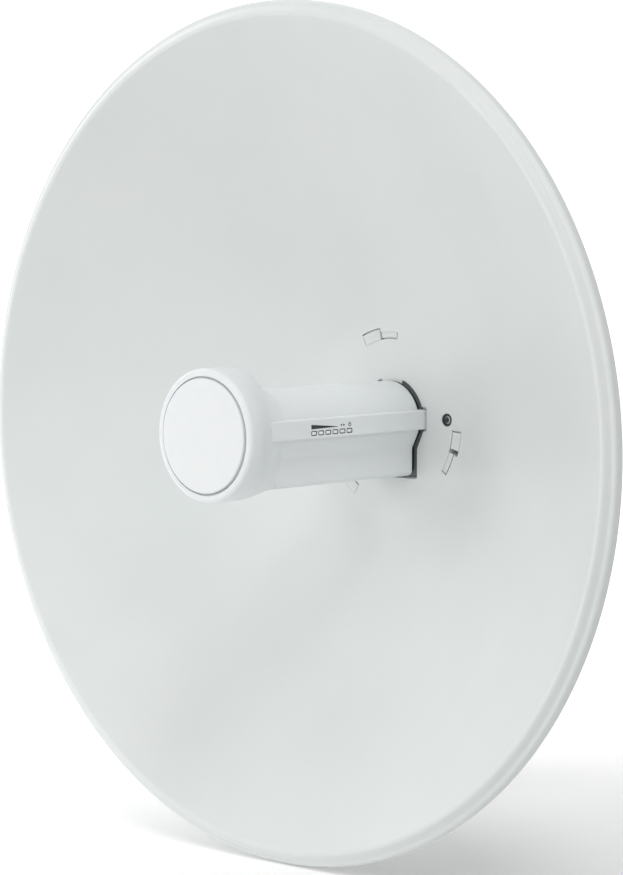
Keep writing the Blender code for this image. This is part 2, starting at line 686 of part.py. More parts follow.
def build_lock_screw():
    x, z = screw_centre()
    surface = bowl_y(math.hypot(x, z))
    seat = bush_seat_y()
    bush = [(0.0024, surface - 0.0004), (BUSH_RADIUS - 0.0002, surface - 0.0004), (BUSH_RADIUS, surface),
            (BUSH_RADIUS, seat), (0.0024, seat)]
    make("lock_screw_bush", turned(bush, 20, z, x), dark_plastic())
    head = surface + 0.0002
    screw = [(0, head), (0.0019, head), (0.0021, head + 0.0003), (0.0021, surface + 0.016), (0, surface + 0.016)]
    make("lock_screw", turned(screw, 16, z, x), zinc_steel())


def build_cable_door():
    back = HOUSING_BACK_Y
    make("cable_door", along_y(rectangle(DOOR_HALF_WIDTH, DOOR_BOTTOM, DOOR_TOP), back - DOOR_THICKNESS, back),
         housing_plastic())
    y = back - DOOR_POCKET_DEPTH / 2
    bm = along_z(circle(GROMMET_RADIUS, 24, (0, y)), -HOUSING_RADIUS + 0.003, DOOR_BOTTOM - 0.002)
    grommet = make("cable_grommet", bm, grey_rubber())
    cut(grommet, "cable_hole", along_z(circle(CABLE_HOLE_RADIUS, 16, (0, y)), -0.10, 0.0))


# Brackets

def flange_bolt_places():
    half_x, half_z = (size / 2 for size in FLANGE_BOLT_SPACING)
    return [(sx * half_x, sz * half_z) for sz in (1, -1) for sx in (-1, 1)]


def pivot_place():
    return (-PIVOT_TO_PAD, PIVOT_HEIGHT)


def lock_place():
    y, z = pivot_place()
    return (y, z - LOCK_SLOT_RADIUS)


def ear_outline(front, back, half_height, radius):
    """Side outline of an ear or cheek, with its free end rounded."""
    centre_y = (front + back) / 2
    half = abs(back - front) / 2
    return rounded_rectangle(half, half_height, radius, (centre_y, 0.0))


def arc_slot(centre, radius, spread, half_width, steps=6):
    """A slot that follows an arc below the pivot, in (y, z)."""
    turns = [-math.pi / 2 + spread * (k / steps - 0.5) for k in range(steps + 1)]
    outer = [(centre[0] + (radius + half_width) * math.cos(t), centre[1] + (radius + half_width) * math.sin(t))
             for t in turns]
    inner = [(centre[0] + (radius - half_width) * math.cos(t), centre[1] + (radius - half_width) * math.sin(t))
             for t in reversed(turns)]
    return outer + inner


def build_tilt_bracket():
    front = TILT_WEB_Y
    web = make("tilt_bracket", along_y(rounded_rectangle(EAR_HALF_SPACING, TILT_WEB_HALF_HEIGHT, 0.004),
                                       front, front + PLATE), zinc_steel())
    ear_back = WING_FRONT_Y - 0.004
    for side in (-1, 1):
        inner = side * (EAR_HALF_SPACING - PLATE)
        outer = side * EAR_HALF_SPACING
        outline = ear_outline(front + PLATE * 0.4, ear_back, EAR_HALF_HEIGHT, 0.008)
        join(web, f"ear_{side}", along_x(outline, min(inner, outer) + 0.0001, max(inner, outer) - 0.0001))
    cut(web, "tilt_pivot_hole", along_x(circle(M8 + HOLE_CLEARANCE, 20, pivot_place()), -0.05, 0.05))
    cut(web, "tilt_lock_slot", along_x(arc_slot(pivot_place(), LOCK_SLOT_RADIUS, LOCK_SLOT_SPREAD,
                                                M8 + HOLE_CLEARANCE), -0.05, 0.05))
    for number, (x, z) in enumerate(flange_bolt_places(), 1):
        cut(web, f"tilt_bolt_hole_{number}",
            along_y(circle(M6 + HOLE_CLEARANCE, 16, (x, z)), front - 0.01, front + 0.01))


def build_flange_bolts():
    seat = TILT_WEB_Y + PLATE + GAP
    for number, (x, z) in enumerate(flange_bolt_places(), 1):
        tip = HOUSING_BACK_Y - FLANGE_BOLT_DEPTH + 0.001
        shank = [(0, tip), (M6, tip), (M6, seat), (M6_WASHER, seat), (M6_WASHER, seat + M6_WASHER_THICKNESS),
                 (0, seat + M6_WASHER_THICKNESS)]
        bolt = make(f"tilt_bracket_bolt_{number}", turned(shank, 24, z, x), zinc_steel())
        join(bolt, f"tilt_bolt_head_{number}",
             along_y(circle(M6_HEX, 6, (x, z)), seat + M6_WASHER_THICKNESS - FLANGE_OVERLAP,
                     seat + M6_WASHER_THICKNESS + M6_HEAD))


def clamp_bolt_places():
    half_x, half_z = (size / 2 for size in CLAMP_BOLT_SPACING)
    return [(sx * half_x, sz * half_z) for sz in (1, -1) for sx in (-1, 1)]


def build_pole_bracket():
    plate = make("pole_bracket", along_y(rounded_rectangle(WING_HALF_WIDTH, WING_HALF_HEIGHT, 0.006),
                                         WING_FRONT_Y, WING_BACK_Y), zinc_steel())
    join(plate, "pad_boss", along_y(rounded_rectangle(PAD_HALF_WIDTH, PAD_HALF_HEIGHT, 0.003),
                                    WING_BACK_Y - PLATE / 3, 0.0))
    cut(plate, "pad_hollow", along_y(rounded_rectangle(PAD_HALF_WIDTH - PLATE, PAD_HALF_HEIGHT - PLATE, 0.002),
                                     WING_FRONT_Y - 0.01, -PLATE))
    inner = EAR_HALF_SPACING + GAP
    front = pivot_place()[0] - 0.014
    for side in (-1, 1):
        low, high = sorted((side * inner, side * (inner + PLATE)))
        outline = ear_outline(front, WING_FRONT_Y + 0.001, CHEEK_HALF_HEIGHT, 0.008)
        join(plate, f"cheek_{side}", along_x(outline, low, high))
    cut(plate, "cheek_pivot_hole", along_x(circle(M8 + HOLE_CLEARANCE, 20, pivot_place()), -0.05, 0.05))
    cut(plate, "cheek_lock_hole", along_x(circle(M8 + HOLE_CLEARANCE, 20, lock_place()), -0.05, 0.05))
    for x in (-WING_HALF_WIDTH, WING_HALF_WIDTH):
        low, high = sorted((x + math.copysign(0.004, x), x - math.copysign(0.0065, x)))
        relief = rounded_rectangle((high - low) / 2, 0.026, 0.004, ((high + low) / 2, 0.0))
        cut(plate, f"wing_relief_{low > 0}", along_y(relief, WING_FRONT_Y - CUT_REACH, WING_BACK_Y + CUT_REACH))
    for number, (bx, bz) in enumerate(clamp_bolt_places(), 1):
        cut(plate, f"wing_bolt_hole_{number}", along_y(circle(M8 + HOLE_CLEARANCE, 20, (bx, bz)),
                                                       WING_FRONT_Y - CUT_REACH, WING_BACK_Y + CUT_REACH))


def cross_bolt(name, place, half_reach, nut_name):
    """A hex bolt along X through both cheeks and ears, with its nut."""
    y, z = place
    seat = EAR_HALF_SPACING + GAP + PLATE + GAP
    bolt = make(name, along_x(circle(M8, 20, place), -seat - 0.002, half_reach), zinc_steel())
    join(bolt, name + "_head", along_x(circle(M8_HEX, 6, place), -seat - M8_HEAD, -seat))
    nut = make(nut_name, along_x(circle(M8_HEX, 6, place), seat, seat + M8_NUT), zinc_steel())
    cut(nut, nut_name + "_bore", along_x(circle(M8 + GAP, 20, place), seat - 0.01, seat + 0.02))


def build_tilt_bolts():
    reach = EAR_HALF_SPACING + GAP + PLATE + GAP + M8_NUT + THREAD_END
    cross_bolt("pivot_bolt", pivot_place(), reach, "pivot_nut")
    cross_bolt("tilt_lock_bolt", lock_place(), reach, "tilt_lock_nut")
    half = EAR_HALF_SPACING - PLATE - GAP
    spacer = make("pivot_spacer", along_x(circle(0.0065, 20, pivot_place()), -half, half), zinc_steel())
    cut(spacer, "spacer_bore", along_x(circle(M8 + GAP, 20, pivot_place()), -0.05, 0.05))


def jaw_outline(web_front):
    """Plan of a clamp's flange: a toothed notch that takes the pole, in (x, y)."""
    mouth = web_front - CLAMP_FLANGE_DEPTH
    notch_half = 0.026
    notch_floor = web_front - 0.007
    floor_half = 0.006
    left = []
    for k in range(JAW_TEETH):
        share = k / JAW_TEETH
        next_share = (k + 1) / JAW_TEETH
        x0 = -notch_half + (notch_half - floor_half) * share
        x1 = -notch_half + (notch_half - floor_half) * next_share
        y0 = mouth + (notch_floor - mouth) * share
        y1 = mouth + (notch_floor - mouth) * next_share
        left += [(x0, y0), ((x0 + x1) / 2 - JAW_TOOTH, (y0 + y1) / 2 + JAW_TOOTH)]
    left.append((-floor_half, notch_floor))
    right = [(-x, y) for x, y in reversed(left)]
    back = web_front + 0.001
    return [(-CLAMP_HALF_WIDTH, back), (-CLAMP_HALF_WIDTH, mouth + 0.010), (-CLAMP_HALF_WIDTH + 0.008, mouth)] \
        + left + right + [(CLAMP_HALF_WIDTH - 0.008, mouth), (CLAMP_HALF_WIDTH, mouth + 0.010), (CLAMP_HALF_WIDTH, back)]


def build_clamps():
    half_z = CLAMP_BOLT_SPACING[1] / 2
    for name, z in (("upper_pole_clamp", half_z), ("lower_pole_clamp", -half_z)):
        low, high = z - CLAMP_HEIGHT / 2, z + CLAMP_HEIGHT / 2
        web = make(name, along_y(rectangle(CLAMP_HALF_WIDTH, low, high), CLAMP_WEB_Y, CLAMP_WEB_Y + PLATE), zinc_steel())
        join(web, name + "_top", along_z(jaw_outline(CLAMP_WEB_Y), high - PLATE, high))
        join(web, name + "_bottom", along_z(jaw_outline(CLAMP_WEB_Y), low, low + PLATE))
        for side, (x, bz) in enumerate(p for p in clamp_bolt_places() if p[1] * z > 0):
            cut(web, f"{name}_hole_{side}", along_y(circle(M8 + HOLE_CLEARANCE, 20, (x, bz)),
                                                   CLAMP_WEB_Y - HOLE_CLEARANCE, CLAMP_WEB_Y + CUT_REACH))


def build_clamp_bolts():
    head = WING_FRONT_Y - GAP
    end = CLAMP_WEB_Y + PLATE + CLAMP_THREAD_END
    for number, (x, z) in enumerate(clamp_bolt_places(), 1):
        profile = [(radius, head - height) for radius, height in CARRIAGE_HEAD]
        profile += [(M8, head), (M8, end), (0, end)]
        make(f"clamp_bolt_{number}", turned(profile, 20, z, x), zinc_steel())
        seat = CLAMP_WEB_Y + PLATE + GAP
        nut = make(f"clamp_nut_{number}", turned([(M8 + GAP, seat), (M8_FLANGE, seat),
                                                  (M8_FLANGE, seat + M8_FLANGE_THICKNESS),
                                                  (M8 + GAP, seat + M8_FLANGE_THICKNESS)], 24, z, x), zinc_steel())
        body = circle(M8_HEX, 6, (x, z))
        ring = along_y(body, seat + M8_FLANGE_THICKNESS - FLANGE_OVERLAP, seat + M8_FLANGE_NUT)
        join(nut, f"clamp_nut_body_{number}", ring)
        cut(nut, f"clamp_nut_bore_{number}", along_y(circle(M8 + GAP, 20, (x, z)), seat - 0.01, seat + 0.02))


clear_scene()
build_dish()
build_head()
build_disc()
build_shells()
build_rails()
build_light_guide()
build_tail()
build_gasket()
build_housing()
build_lock_screw()
build_cable_door()
build_tilt_bracket()
build_flange_bolts()
build_pole_bracket()
build_tilt_bolts()
build_clamps()
build_clamp_bolts()
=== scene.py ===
"""Looks of a wireless bridge dish antenna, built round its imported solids.

Metres, +Z up. The dish looks along -Y, and the origin is on the flat pad behind the pole bracket.
"""

import math

import bmesh
import bpy
from mathutils import Matrix, Vector


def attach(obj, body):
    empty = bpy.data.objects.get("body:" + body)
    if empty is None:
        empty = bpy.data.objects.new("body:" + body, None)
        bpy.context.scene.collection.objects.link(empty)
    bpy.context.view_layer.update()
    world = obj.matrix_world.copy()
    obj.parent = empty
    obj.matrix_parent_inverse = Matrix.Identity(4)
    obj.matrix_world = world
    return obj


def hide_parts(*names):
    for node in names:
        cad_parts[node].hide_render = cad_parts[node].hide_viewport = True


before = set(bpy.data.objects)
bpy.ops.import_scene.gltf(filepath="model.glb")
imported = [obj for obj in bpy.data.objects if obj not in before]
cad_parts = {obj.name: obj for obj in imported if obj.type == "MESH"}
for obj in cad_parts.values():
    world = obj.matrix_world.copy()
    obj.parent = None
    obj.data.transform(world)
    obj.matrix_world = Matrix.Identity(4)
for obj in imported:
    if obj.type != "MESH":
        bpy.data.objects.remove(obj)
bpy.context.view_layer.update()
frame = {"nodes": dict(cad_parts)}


# Camera, floor and light
# A long lens looks from the dish's front right, a little above its axis. The dish stands on a white
# paper sweep in a white room that is darker on the right. Three soft lights hang high in front and on
# the right, and one stands low on the left.
VIEW_TURN = math.radians(44.35)
VIEW_RISE = math.radians(4.88)
VIEW_DISTANCE = 2.18689
VIEW_AIM = Vector((0.01126, -0.16266, -0.00137))
LENS = 150
FLOOR_Z = -0.2604
SWEEP_SIZE = 30.0
SWEEP_BACK = 9.0                     # behind the dish, where the sweep turns up
SWEEP_HEIGHT = 9.0
SWEEP_ROUNDING = 3.0
GLOW = 0.60                          # the paper's painted glow behind the dish: light it gives off, though it is no lamp
GLOW_FROM, GLOW_TO = -0.45, 1.1      # metres behind the dish where it starts and is full
GLOW_SLANT = -0.3                    # it starts nearer on the left, farther on the right
LEFT_FROM, LEFT_TO = 0.15, -0.35     # metres to the right, between which the painted glow doubles, to pale the dish's floor shadow on the left
GREY_FROM, GREY_TO = -0.35, -2.20    # in front of the dish, where the paper turns light grey
ROOM_LIGHT = 0.75
ROOM_DARK_SIDE = (115, -5)           # round from the dish's axis and up, in degrees
ROOM_DARK_SHARE = 0.5
DARK_FROM, DARK_TO = 0.15, 0.9       # cosine of the angle from the dark side
LIGHT_AIM = Vector((0, -0.15, 0))
# Round from the dish's axis and up, in degrees; distance and size in metres; watts
SOFT_LIGHTS = {
    "high_right_softbox": (55, 57, 2.6, 0.7, 11.8),
    "high_softbox": (5, 57, 2.6, 0.7, 4.9),
    "right_softbox": (55, 35, 2.6, 0.7, 4.6),
    "low_left_softbox": (-20, 12, 2.6, 0.7, 8.8),
}


def direction(turn, rise):
    """The way from the dish to something this far round from its axis and up."""
    return Vector((math.sin(turn) * math.cos(rise), -math.cos(turn) * math.cos(rise), math.sin(rise)))


def linear(code):
    """An sRGB hex colour as linear red, green and blue."""
    parts = [int(code[k:k + 2], 16) / 255 for k in (1, 3, 5)]
    return [v / 12.92 if v <= 0.04045 else ((v + 0.055) / 1.055) ** 2.4 for v in parts]


def surface(name, colour, roughness, **sockets):
    """A material whose shader has this colour, roughness and other constant sockets."""
    made = bpy.data.materials.new(name)
    made.use_nodes = True
    shader = made.node_tree.nodes["Principled BSDF"]
    shader.inputs["Base Color"].default_value = (*linear(colour), 1)
    shader.inputs["Roughness"].default_value = roughness
    for socket, value in sockets.items():
        shader.inputs[socket.replace("_", " ")].default_value = value
    return made


def add(material, kind, inputs, to=None, stops=(), **settings):
    """Adds a node. An input is a value, a socket or another node, and to is the shader socket it feeds."""
    made = material.node_tree.nodes.new("ShaderNode" + kind)
    for name, value in settings.items():
        setattr(made, name, value)
    for number, (position, colour) in enumerate(stops):
        made.color_ramp.elements[number].position = position
        made.color_ramp.elements[number].color = (*linear(colour), 1)
    for socket, value in inputs.items():
        if isinstance(value, bpy.types.Node):
            value = value.outputs[0]
        if isinstance(value, bpy.types.NodeSocket):
            material.node_tree.links.new(value, made.inputs[socket])
        else:
            made.inputs[socket].default_value = value
    if to:
        material.node_tree.links.new(made.outputs[0], material.node_tree.nodes["Principled BSDF"].inputs[to])
    return made


camera = bpy.data.objects.new("camera", bpy.data.cameras.new("camera"))
bpy.context.scene.collection.objects.link(camera)
camera.data.lens = LENS
camera.data.clip_end = 60
camera.location = VIEW_AIM + direction(VIEW_TURN, VIEW_RISE) * VIEW_DISTANCE
camera.rotation_euler = (math.pi / 2 - VIEW_RISE, 0, VIEW_TURN)
bpy.context.scene.camera = camera
bpy.context.scene.view_settings.view_transform = "Standard"

bpy.ops.object.select_all(action="DESELECT")
bpy.ops.mesh.primitive_plane_add(size=SWEEP_SIZE, location=(0, SWEEP_BACK - SWEEP_SIZE / 2, 0))
sweep = bpy.context.object
sweep.name = "studio_sweep"
bpy.ops.object.transform_apply(location=True)
bpy.ops.object.mode_set(mode="EDIT")
bpy.ops.mesh.select_all(action="DESELECT")
loose = bmesh.from_edit_mesh(sweep.data)
for edge in loose.edges:
    edge.select_set(all(v.co.y > SWEEP_BACK - 0.01 for v in edge.verts))
bmesh.update_edit_mesh(sweep.data)
bpy.ops.mesh.extrude_region_move(TRANSFORM_OT_translate={"value": (0, 0, SWEEP_HEIGHT)})
loose = bmesh.from_edit_mesh(sweep.data)
for edge in loose.edges:
    edge.select_set(all(v.co.y > SWEEP_BACK - 0.01 and v.co.z < 0.01 for v in edge.verts))
bmesh.update_edit_mesh(sweep.data)
bpy.ops.mesh.bevel(offset=SWEEP_ROUNDING, segments=16)
bpy.ops.object.mode_set(mode="OBJECT")
sweep.data.transform(Matrix.Translation((0, 0, FLOOR_Z)) @ Matrix.Rotation(VIEW_TURN, 4, "Z"))
bpy.ops.object.shade_smooth()

# Matt white paper. Behind the dish it gives off painted light, a glow brighter than its lamps make it, so
# that it comes out as pure white, and on the left the glow doubles and pales the dish's cast shadow on the
# floor. In front of the dish it is a light grey.
paper = surface("white_paper_sweep", "#F4F4F4", 0.95, Specular_IOR_Level=0.0, Emission_Color=(1, 1, 1, 1))
place = add(paper, "TexCoord", {}).outputs["Object"]
turned = add(paper, "Mapping", {"Vector": place, "Rotation": (0, 0, -VIEW_TURN)})
across = add(paper, "SeparateXYZ", {"Vector": turned})
behind = add(paper, "VectorMath", {0: turned, 1: (GLOW_SLANT, 1, 0)},
             operation="DOT_PRODUCT")
painted_glow = add(paper, "MapRange", {"Value": behind.outputs["Value"], "From Min": GLOW_FROM, "From Max": GLOW_TO,
                               "To Max": GLOW}, interpolation_type="SMOOTHSTEP")
# On the left the painted glow doubles, paling the dish's cast shadow on the floor
left = add(paper, "MapRange", {"Value": across, "From Min": LEFT_FROM, "From Max": LEFT_TO},
           interpolation_type="SMOOTHSTEP")
add(paper, "Math", {0: painted_glow, 1: left, 2: painted_glow},
    "Emission Strength", operation="MULTIPLY_ADD")
fade = add(paper, "MapRange", {"Value": behind.outputs["Value"], "From Min": GREY_FROM, "From Max": GREY_TO})
add(paper, "ValToRGB", {"Fac": fade}, "Base Color", [(0, "#F4F4F4"), (1, "#B4B4B4")])
sweep.data.materials.append(paper)

room = bpy.data.worlds.new("white_room")
bpy.context.scene.world = room
room.use_nodes = True
room.node_tree.nodes["Background"].inputs["Color"].default_value = (1, 1, 1, 1)
way = direction(*(math.radians(a) for a in ROOM_DARK_SIDE))
look = add(room, "TexCoord", {}).outputs["Generated"]
toward = add(room, "VectorMath", {0: look, 1: way}, operation="DOT_PRODUCT")
level = add(room, "MapRange", {"Value": toward.outputs["Value"], "From Min": DARK_FROM, "From Max": DARK_TO,
                               "To Min": ROOM_LIGHT, "To Max": ROOM_LIGHT * (1 - ROOM_DARK_SHARE)},
            interpolation_type="SMOOTHSTEP")
room.node_tree.links.new(level.outputs["Result"], room.node_tree.nodes["Background"].inputs["Strength"])
for name, (turn, rise, distance, size, power) in SOFT_LIGHTS.items():
    box = bpy.data.lights.new(name, "AREA")
    box.shape = "SQUARE"
    box.size = size
    box.energy = power
    lamp = bpy.data.objects.new(name, box)
    bpy.context.scene.collection.objects.link(lamp)
    way = direction(math.radians(turn), math.radians(rise))
    lamp.location = LIGHT_AIM + way * distance
    lamp.rotation_euler = way.to_track_quat("Z", "Y").to_euler()


# Dish reflector
# One sheet of 1.2 mm steel spun over a former, with a flat centre, a ridge and a step at the rim, and
# its edge rolled over. The keyhole for the feed, the bayonet slots and a screw hole are punched.
CENTRE_Y = -0.080
BOWL_DEPTH = 0.1012
FLAT_RADIUS = 0.0640
FLAT_EDGE = 0.0585            # where the flat centre starts to turn up
BLEND_END = 0.0735
CREST_RADIUS = 0.2514
SHEET = 0.0012
RIM_CURVE = [(-0.0016, 0.0014), (-0.0008, 0.00095), (0.0000, 0.0007), (0.0009, 0.00065), (0.0017, 0.00085),
             (0.0025, 0.00135), (0.0033, 0.0021), (0.0041, 0.0029), (0.0047, 0.00345), (0.0053, 0.0038),
             (0.0062, 0.00395), (0.0070, 0.00415), (0.0077, 0.00465), (0.0082, 0.0055), (0.0085, 0.0068),
             (0.0086, 0.0087)]
RIM_STEP = 0.0015
HEM_ROUNDING = 0.0013
HEM_DEPTH = 0.0030
HEM_LIP = 0.0004
DISH_STEPS = 240
BOWL_STEPS = 34
FEED_Z = 0.0036               # feed's axis above the dish's
SLOT_INNER = 0.0503
SLOT_WIDE = 0.0576
SLOT_NARROW = 0.0548
SLOT_START, SLOT_STEP, SLOT_END = (math.radians(a) for a in (85.1, 100.2, 116.1))
SCREW_AT = (0.0458 * math.cos(math.radians(3.4)), FEED_Z + 0.0458 * math.sin(math.radians(3.4)))
SCREW_HOLE = 0.0040
PUNCHED_EDGE = 0.00025        # rounding left by the punch and the paint


def outline(name, points):
    """A circle primitive with its vertices set on these points."""
    bpy.ops.object.select_all(action="DESELECT")
    bpy.ops.mesh.primitive_circle_add(vertices=len(points), fill_type="NOTHING")
    piece = bpy.context.object
    piece.name = piece.data.name = name
    for vertex, point in zip(piece.data.vertices, points):
        vertex.co = point
    return piece


def turned_out(piece):
    """Ends the edit with all the faces pointing outwards."""
    bpy.ops.mesh.select_all(action="SELECT")
    bpy.ops.mesh.normals_make_consistent(inside=False)
    bpy.ops.object.mode_set(mode="OBJECT")
    return piece


def lathe(name, profile, steps, at=(0, 0, 0), along=(0, 1, 0), closed=False):
    """A line of (radius, place) spun about an axis. An open line's ends meet the axis or are filled."""
    at, along = Vector(at), Vector(along)
    out = Vector((0, 1, 0)) if along.x else Vector((1, 0, 0))
    if len(profile) == 2:
        profile = [profile[0], [(a + b) / 2 for a, b in zip(*profile)], profile[1]]
    piece = outline(name, [at + out * r + along * p for r, p in profile])
    bpy.ops.object.mode_set(mode="EDIT")
    loop = bmesh.from_edit_mesh(piece.data)
    loop.verts.ensure_lookup_table()
    if not closed:
        loop.edges.remove(loop.edges.get((loop.verts[0], loop.verts[-1])))
        bmesh.update_edit_mesh(piece.data)
    bpy.ops.mesh.select_all(action="SELECT")
    bpy.ops.mesh.spin(steps=steps, angle=2 * math.pi, center=at, axis=along)
    bpy.ops.mesh.select_all(action="SELECT")
    bpy.ops.mesh.remove_doubles(threshold=1e-6)
    for radius, place in (profile[0], profile[-1]):
        if closed or radius == 0:
            continue
        bpy.ops.mesh.select_all(action="DESELECT")
        loop = bmesh.from_edit_mesh(piece.data)
        for edge in loop.edges:
            edge.select_set(edge.is_boundary and abs((edge.verts[0].co - at).dot(along) - place) < 1e-6)
        bmesh.update_edit_mesh(piece.data)
        bpy.ops.mesh.edge_face_add()
    return turned_out(piece)


def prism(name, points, push):
    """A flat outline filled and pushed out into a block."""
    piece = outline(name, points)
    bpy.ops.object.mode_set(mode="EDIT")
    bpy.ops.mesh.select_all(action="SELECT")
    bpy.ops.mesh.edge_face_add()
    bpy.ops.mesh.extrude_region_move(TRANSFORM_OT_translate={"value": push})
    return turned_out(piece)


def work_with(piece):
    bpy.ops.object.select_all(action="DESELECT")
    piece.select_set(True)
    bpy.context.view_layer.objects.active = piece


def shape(piece, tool, operation="DIFFERENCE"):
    """Cuts the tool from the piece, or joins or crosses them, and throws the tool away."""
    step = piece.modifiers.new("shape", "BOOLEAN")
    step.operation = operation
    step.solver = "EXACT"
    step.object = tool
    work_with(piece)
    bpy.ops.object.modifier_apply(modifier=step.name)
    bpy.data.objects.remove(tool, do_unlink=True)


def smooth(piece, edge=0.0, segments=2, angle=35):
    """Rounds the sharp edges and shades the piece so that flat faces stay flat."""
    work_with(piece)
    if edge:
        bevel = piece.modifiers.new("edges", "BEVEL")
        bevel.width = edge
        bevel.segments = segments
        bevel.limit_method = "ANGLE"
        bevel.angle_limit = math.radians(angle)
        bevel.harden_normals = False
        bpy.ops.object.modifier_apply(modifier=bevel.name)
    bpy.ops.object.shade_smooth_by_angle(angle=math.radians(angle if not edge else 60))
    weigh = piece.modifiers.new("normals", "WEIGHTED_NORMAL")
    weigh.keep_sharp = True
    bpy.ops.object.modifier_apply(modifier=weigh.name)


def around(radius, start, end, steps, centre=(0.0, FEED_Z)):
    """Points (x, z) on an arc about the feed's axis, or another centre."""
    turns = [start + (end - start) * k / steps for k in range(steps + 1)]
    return [(centre[0] + radius * math.cos(t), centre[1] + radius * math.sin(t)) for t in turns]


def both_sides(points):
    """The points, then their mirror images on the other side in reverse order."""
    return points + [(-a, b) for a, b in reversed(points)]


def flat_at(y, points):
    return [(x, y, z) for x, z in points]


def punched(piece, points, start, depth, operation="DIFFERENCE"):
    """Cuts this (x, z) outline through the piece from start backwards, or adds it, or keeps what is in it."""
    shape(piece, prism("punch", flat_at(start, points), (0, depth, 0)), operation)


def dress(piece, material, slot, *nodes):
    """Gives the piece its material and its body, and names the solids that it stands for, which it hides. The
    slot is not used.
    """
    piece.data.materials.append(material)
    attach(piece, "root")
    if nodes:
        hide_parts(*nodes)


def bowl_y(radius):
    """Front of the sheet: flat, then a short blend, then a parabola."""
    def curve(r):
        return (r ** 2 - FLAT_RADIUS ** 2) / (CREST_RADIUS ** 2 - FLAT_RADIUS ** 2) * BOWL_DEPTH
    if radius <= FLAT_EDGE:
        return CENTRE_Y
    if radius >= BLEND_END:
        return CENTRE_Y - curve(radius)
    span = BLEND_END - FLAT_EDGE
    t = (radius - FLAT_EDGE) / span
    slope = 2 * BLEND_END / (CREST_RADIUS ** 2 - FLAT_RADIUS ** 2) * BOWL_DEPTH * span
    return CENTRE_Y - curve(BLEND_END) * t * t * (3 - 2 * t) - slope * t * t * (t - 1)


def smooth_line(points, steps):
    """The same line with points added on a curve through it."""
    line = []
    for k in range(len(points) - 1):
        p0, p1, p2, p3 = (Vector(points[min(max(j, 0), len(points) - 1)]) for j in (k - 1, k, k + 1, k + 2))
        for s in range(steps):
            t = s / steps
            line.append(tuple(0.5 * (2 * p1 + (p2 - p0) * t + (2 * p0 - 5 * p1 + 4 * p2 - p3) * t ** 2
                                     + (3 * p1 - p0 - 3 * p2 + p3) * t ** 3)))
    return line + [tuple(points[-1])]


def set_back(points, distance):
    """The same (radius, y) line, moved back square to itself."""
    moved = []
    for k, (radius, y) in enumerate(points):
        before, after = points[max(k - 1, 0)], points[min(k + 1, len(points) - 1)]
        run, rise = after[0] - before[0], after[1] - before[1]
        length = math.hypot(run, rise)
        moved.append((radius - distance * rise / length, y + distance * run / length))
    return moved


crest_y = CENTRE_Y - BOWL_DEPTH
rows = [FLAT_EDGE + (BLEND_END - FLAT_EDGE) * k / 10 for k in range(11)]
rim_start = CREST_RADIUS + RIM_CURVE[0][0]
rows += [BLEND_END + (rim_start - RIM_STEP - BLEND_END) * (k / BOWL_STEPS) for k in range(1, BOWL_STEPS + 1)]
front = [(r, bowl_y(r)) for r in rows]
front += smooth_line([(CREST_RADIUS + out, crest_y + back) for out, back in RIM_CURVE], 2)
edge_r, edge_y = front[-1]
hem = around(HEM_ROUNDING, 0, math.pi, 8, (edge_r - HEM_ROUNDING, edge_y))[1:]
hem_r, hem_end = edge_r - 2 * HEM_ROUNDING, edge_y - HEM_DEPTH
hem += [(hem_r, hem_end + HEM_LIP), (hem_r + HEM_LIP, hem_end)]
back = [p for p in set_back(front, SHEET) if p[1] < hem_end - 0.0001 or p[0] < CREST_RADIUS]
dish = lathe("dish_reflector_visual", front + hem + list(reversed(back)), DISH_STEPS)

# Keyhole for the feed: round above with a tab at its top, a notch for each rail, and a box below
OPENING = 0.0268
TAB = 0.0244
TAB_ANGLE = math.radians(71)
NOTCH_TOP, NOTCH_BOTTOM, NOTCH_X = 0.0094, -0.0053, 0.0288
KEEL_HOLE_X, KEEL_HOLE_Z, DIAGONAL_Z = 0.0210, -0.0351, -0.0165
side = around(TAB, math.pi / 2 - 0.02, TAB_ANGLE, 5, (0, 0))
side += around(OPENING, TAB_ANGLE, math.asin(NOTCH_TOP / OPENING), 14, (0, 0))
side += [(NOTCH_X, NOTCH_TOP), (NOTCH_X, NOTCH_BOTTOM)]
side += [(math.sqrt(OPENING ** 2 - NOTCH_BOTTOM ** 2), NOTCH_BOTTOM), (KEEL_HOLE_X, DIAGONAL_Z)]
side += around(0.0008, 0, -math.pi / 2, 3, (KEEL_HOLE_X - 0.0008, KEEL_HOLE_Z + 0.0008))
keyhole = [(x, z + FEED_Z) for x, z in both_sides(side)]
PUNCH_START, PUNCH_DEPTH = CENTRE_Y - 0.01, 0.02
punched(dish, keyhole, PUNCH_START, PUNCH_DEPTH)
for number in range(3):
    turned = -2 * math.pi * number / 3
    slot = around(SLOT_INNER, SLOT_START + turned, SLOT_END + turned, 12)
    slot += around(SLOT_WIDE, SLOT_END + turned, SLOT_STEP + turned, 7)
    slot += around(SLOT_NARROW, SLOT_STEP + turned, SLOT_START + turned, 6)
    punched(dish, slot, PUNCH_START, PUNCH_DEPTH)
punched(dish, around(SCREW_HOLE, 0, math.radians(350), 35, SCREW_AT), PUNCH_START, PUNCH_DEPTH)
split = dish.modifiers.new("split", "TRIANGULATE")
split.min_vertices = 5
work_with(dish)
bpy.ops.object.modifier_apply(modifier=split.name)
smooth(dish, PUNCHED_EDGE, 2, 50)

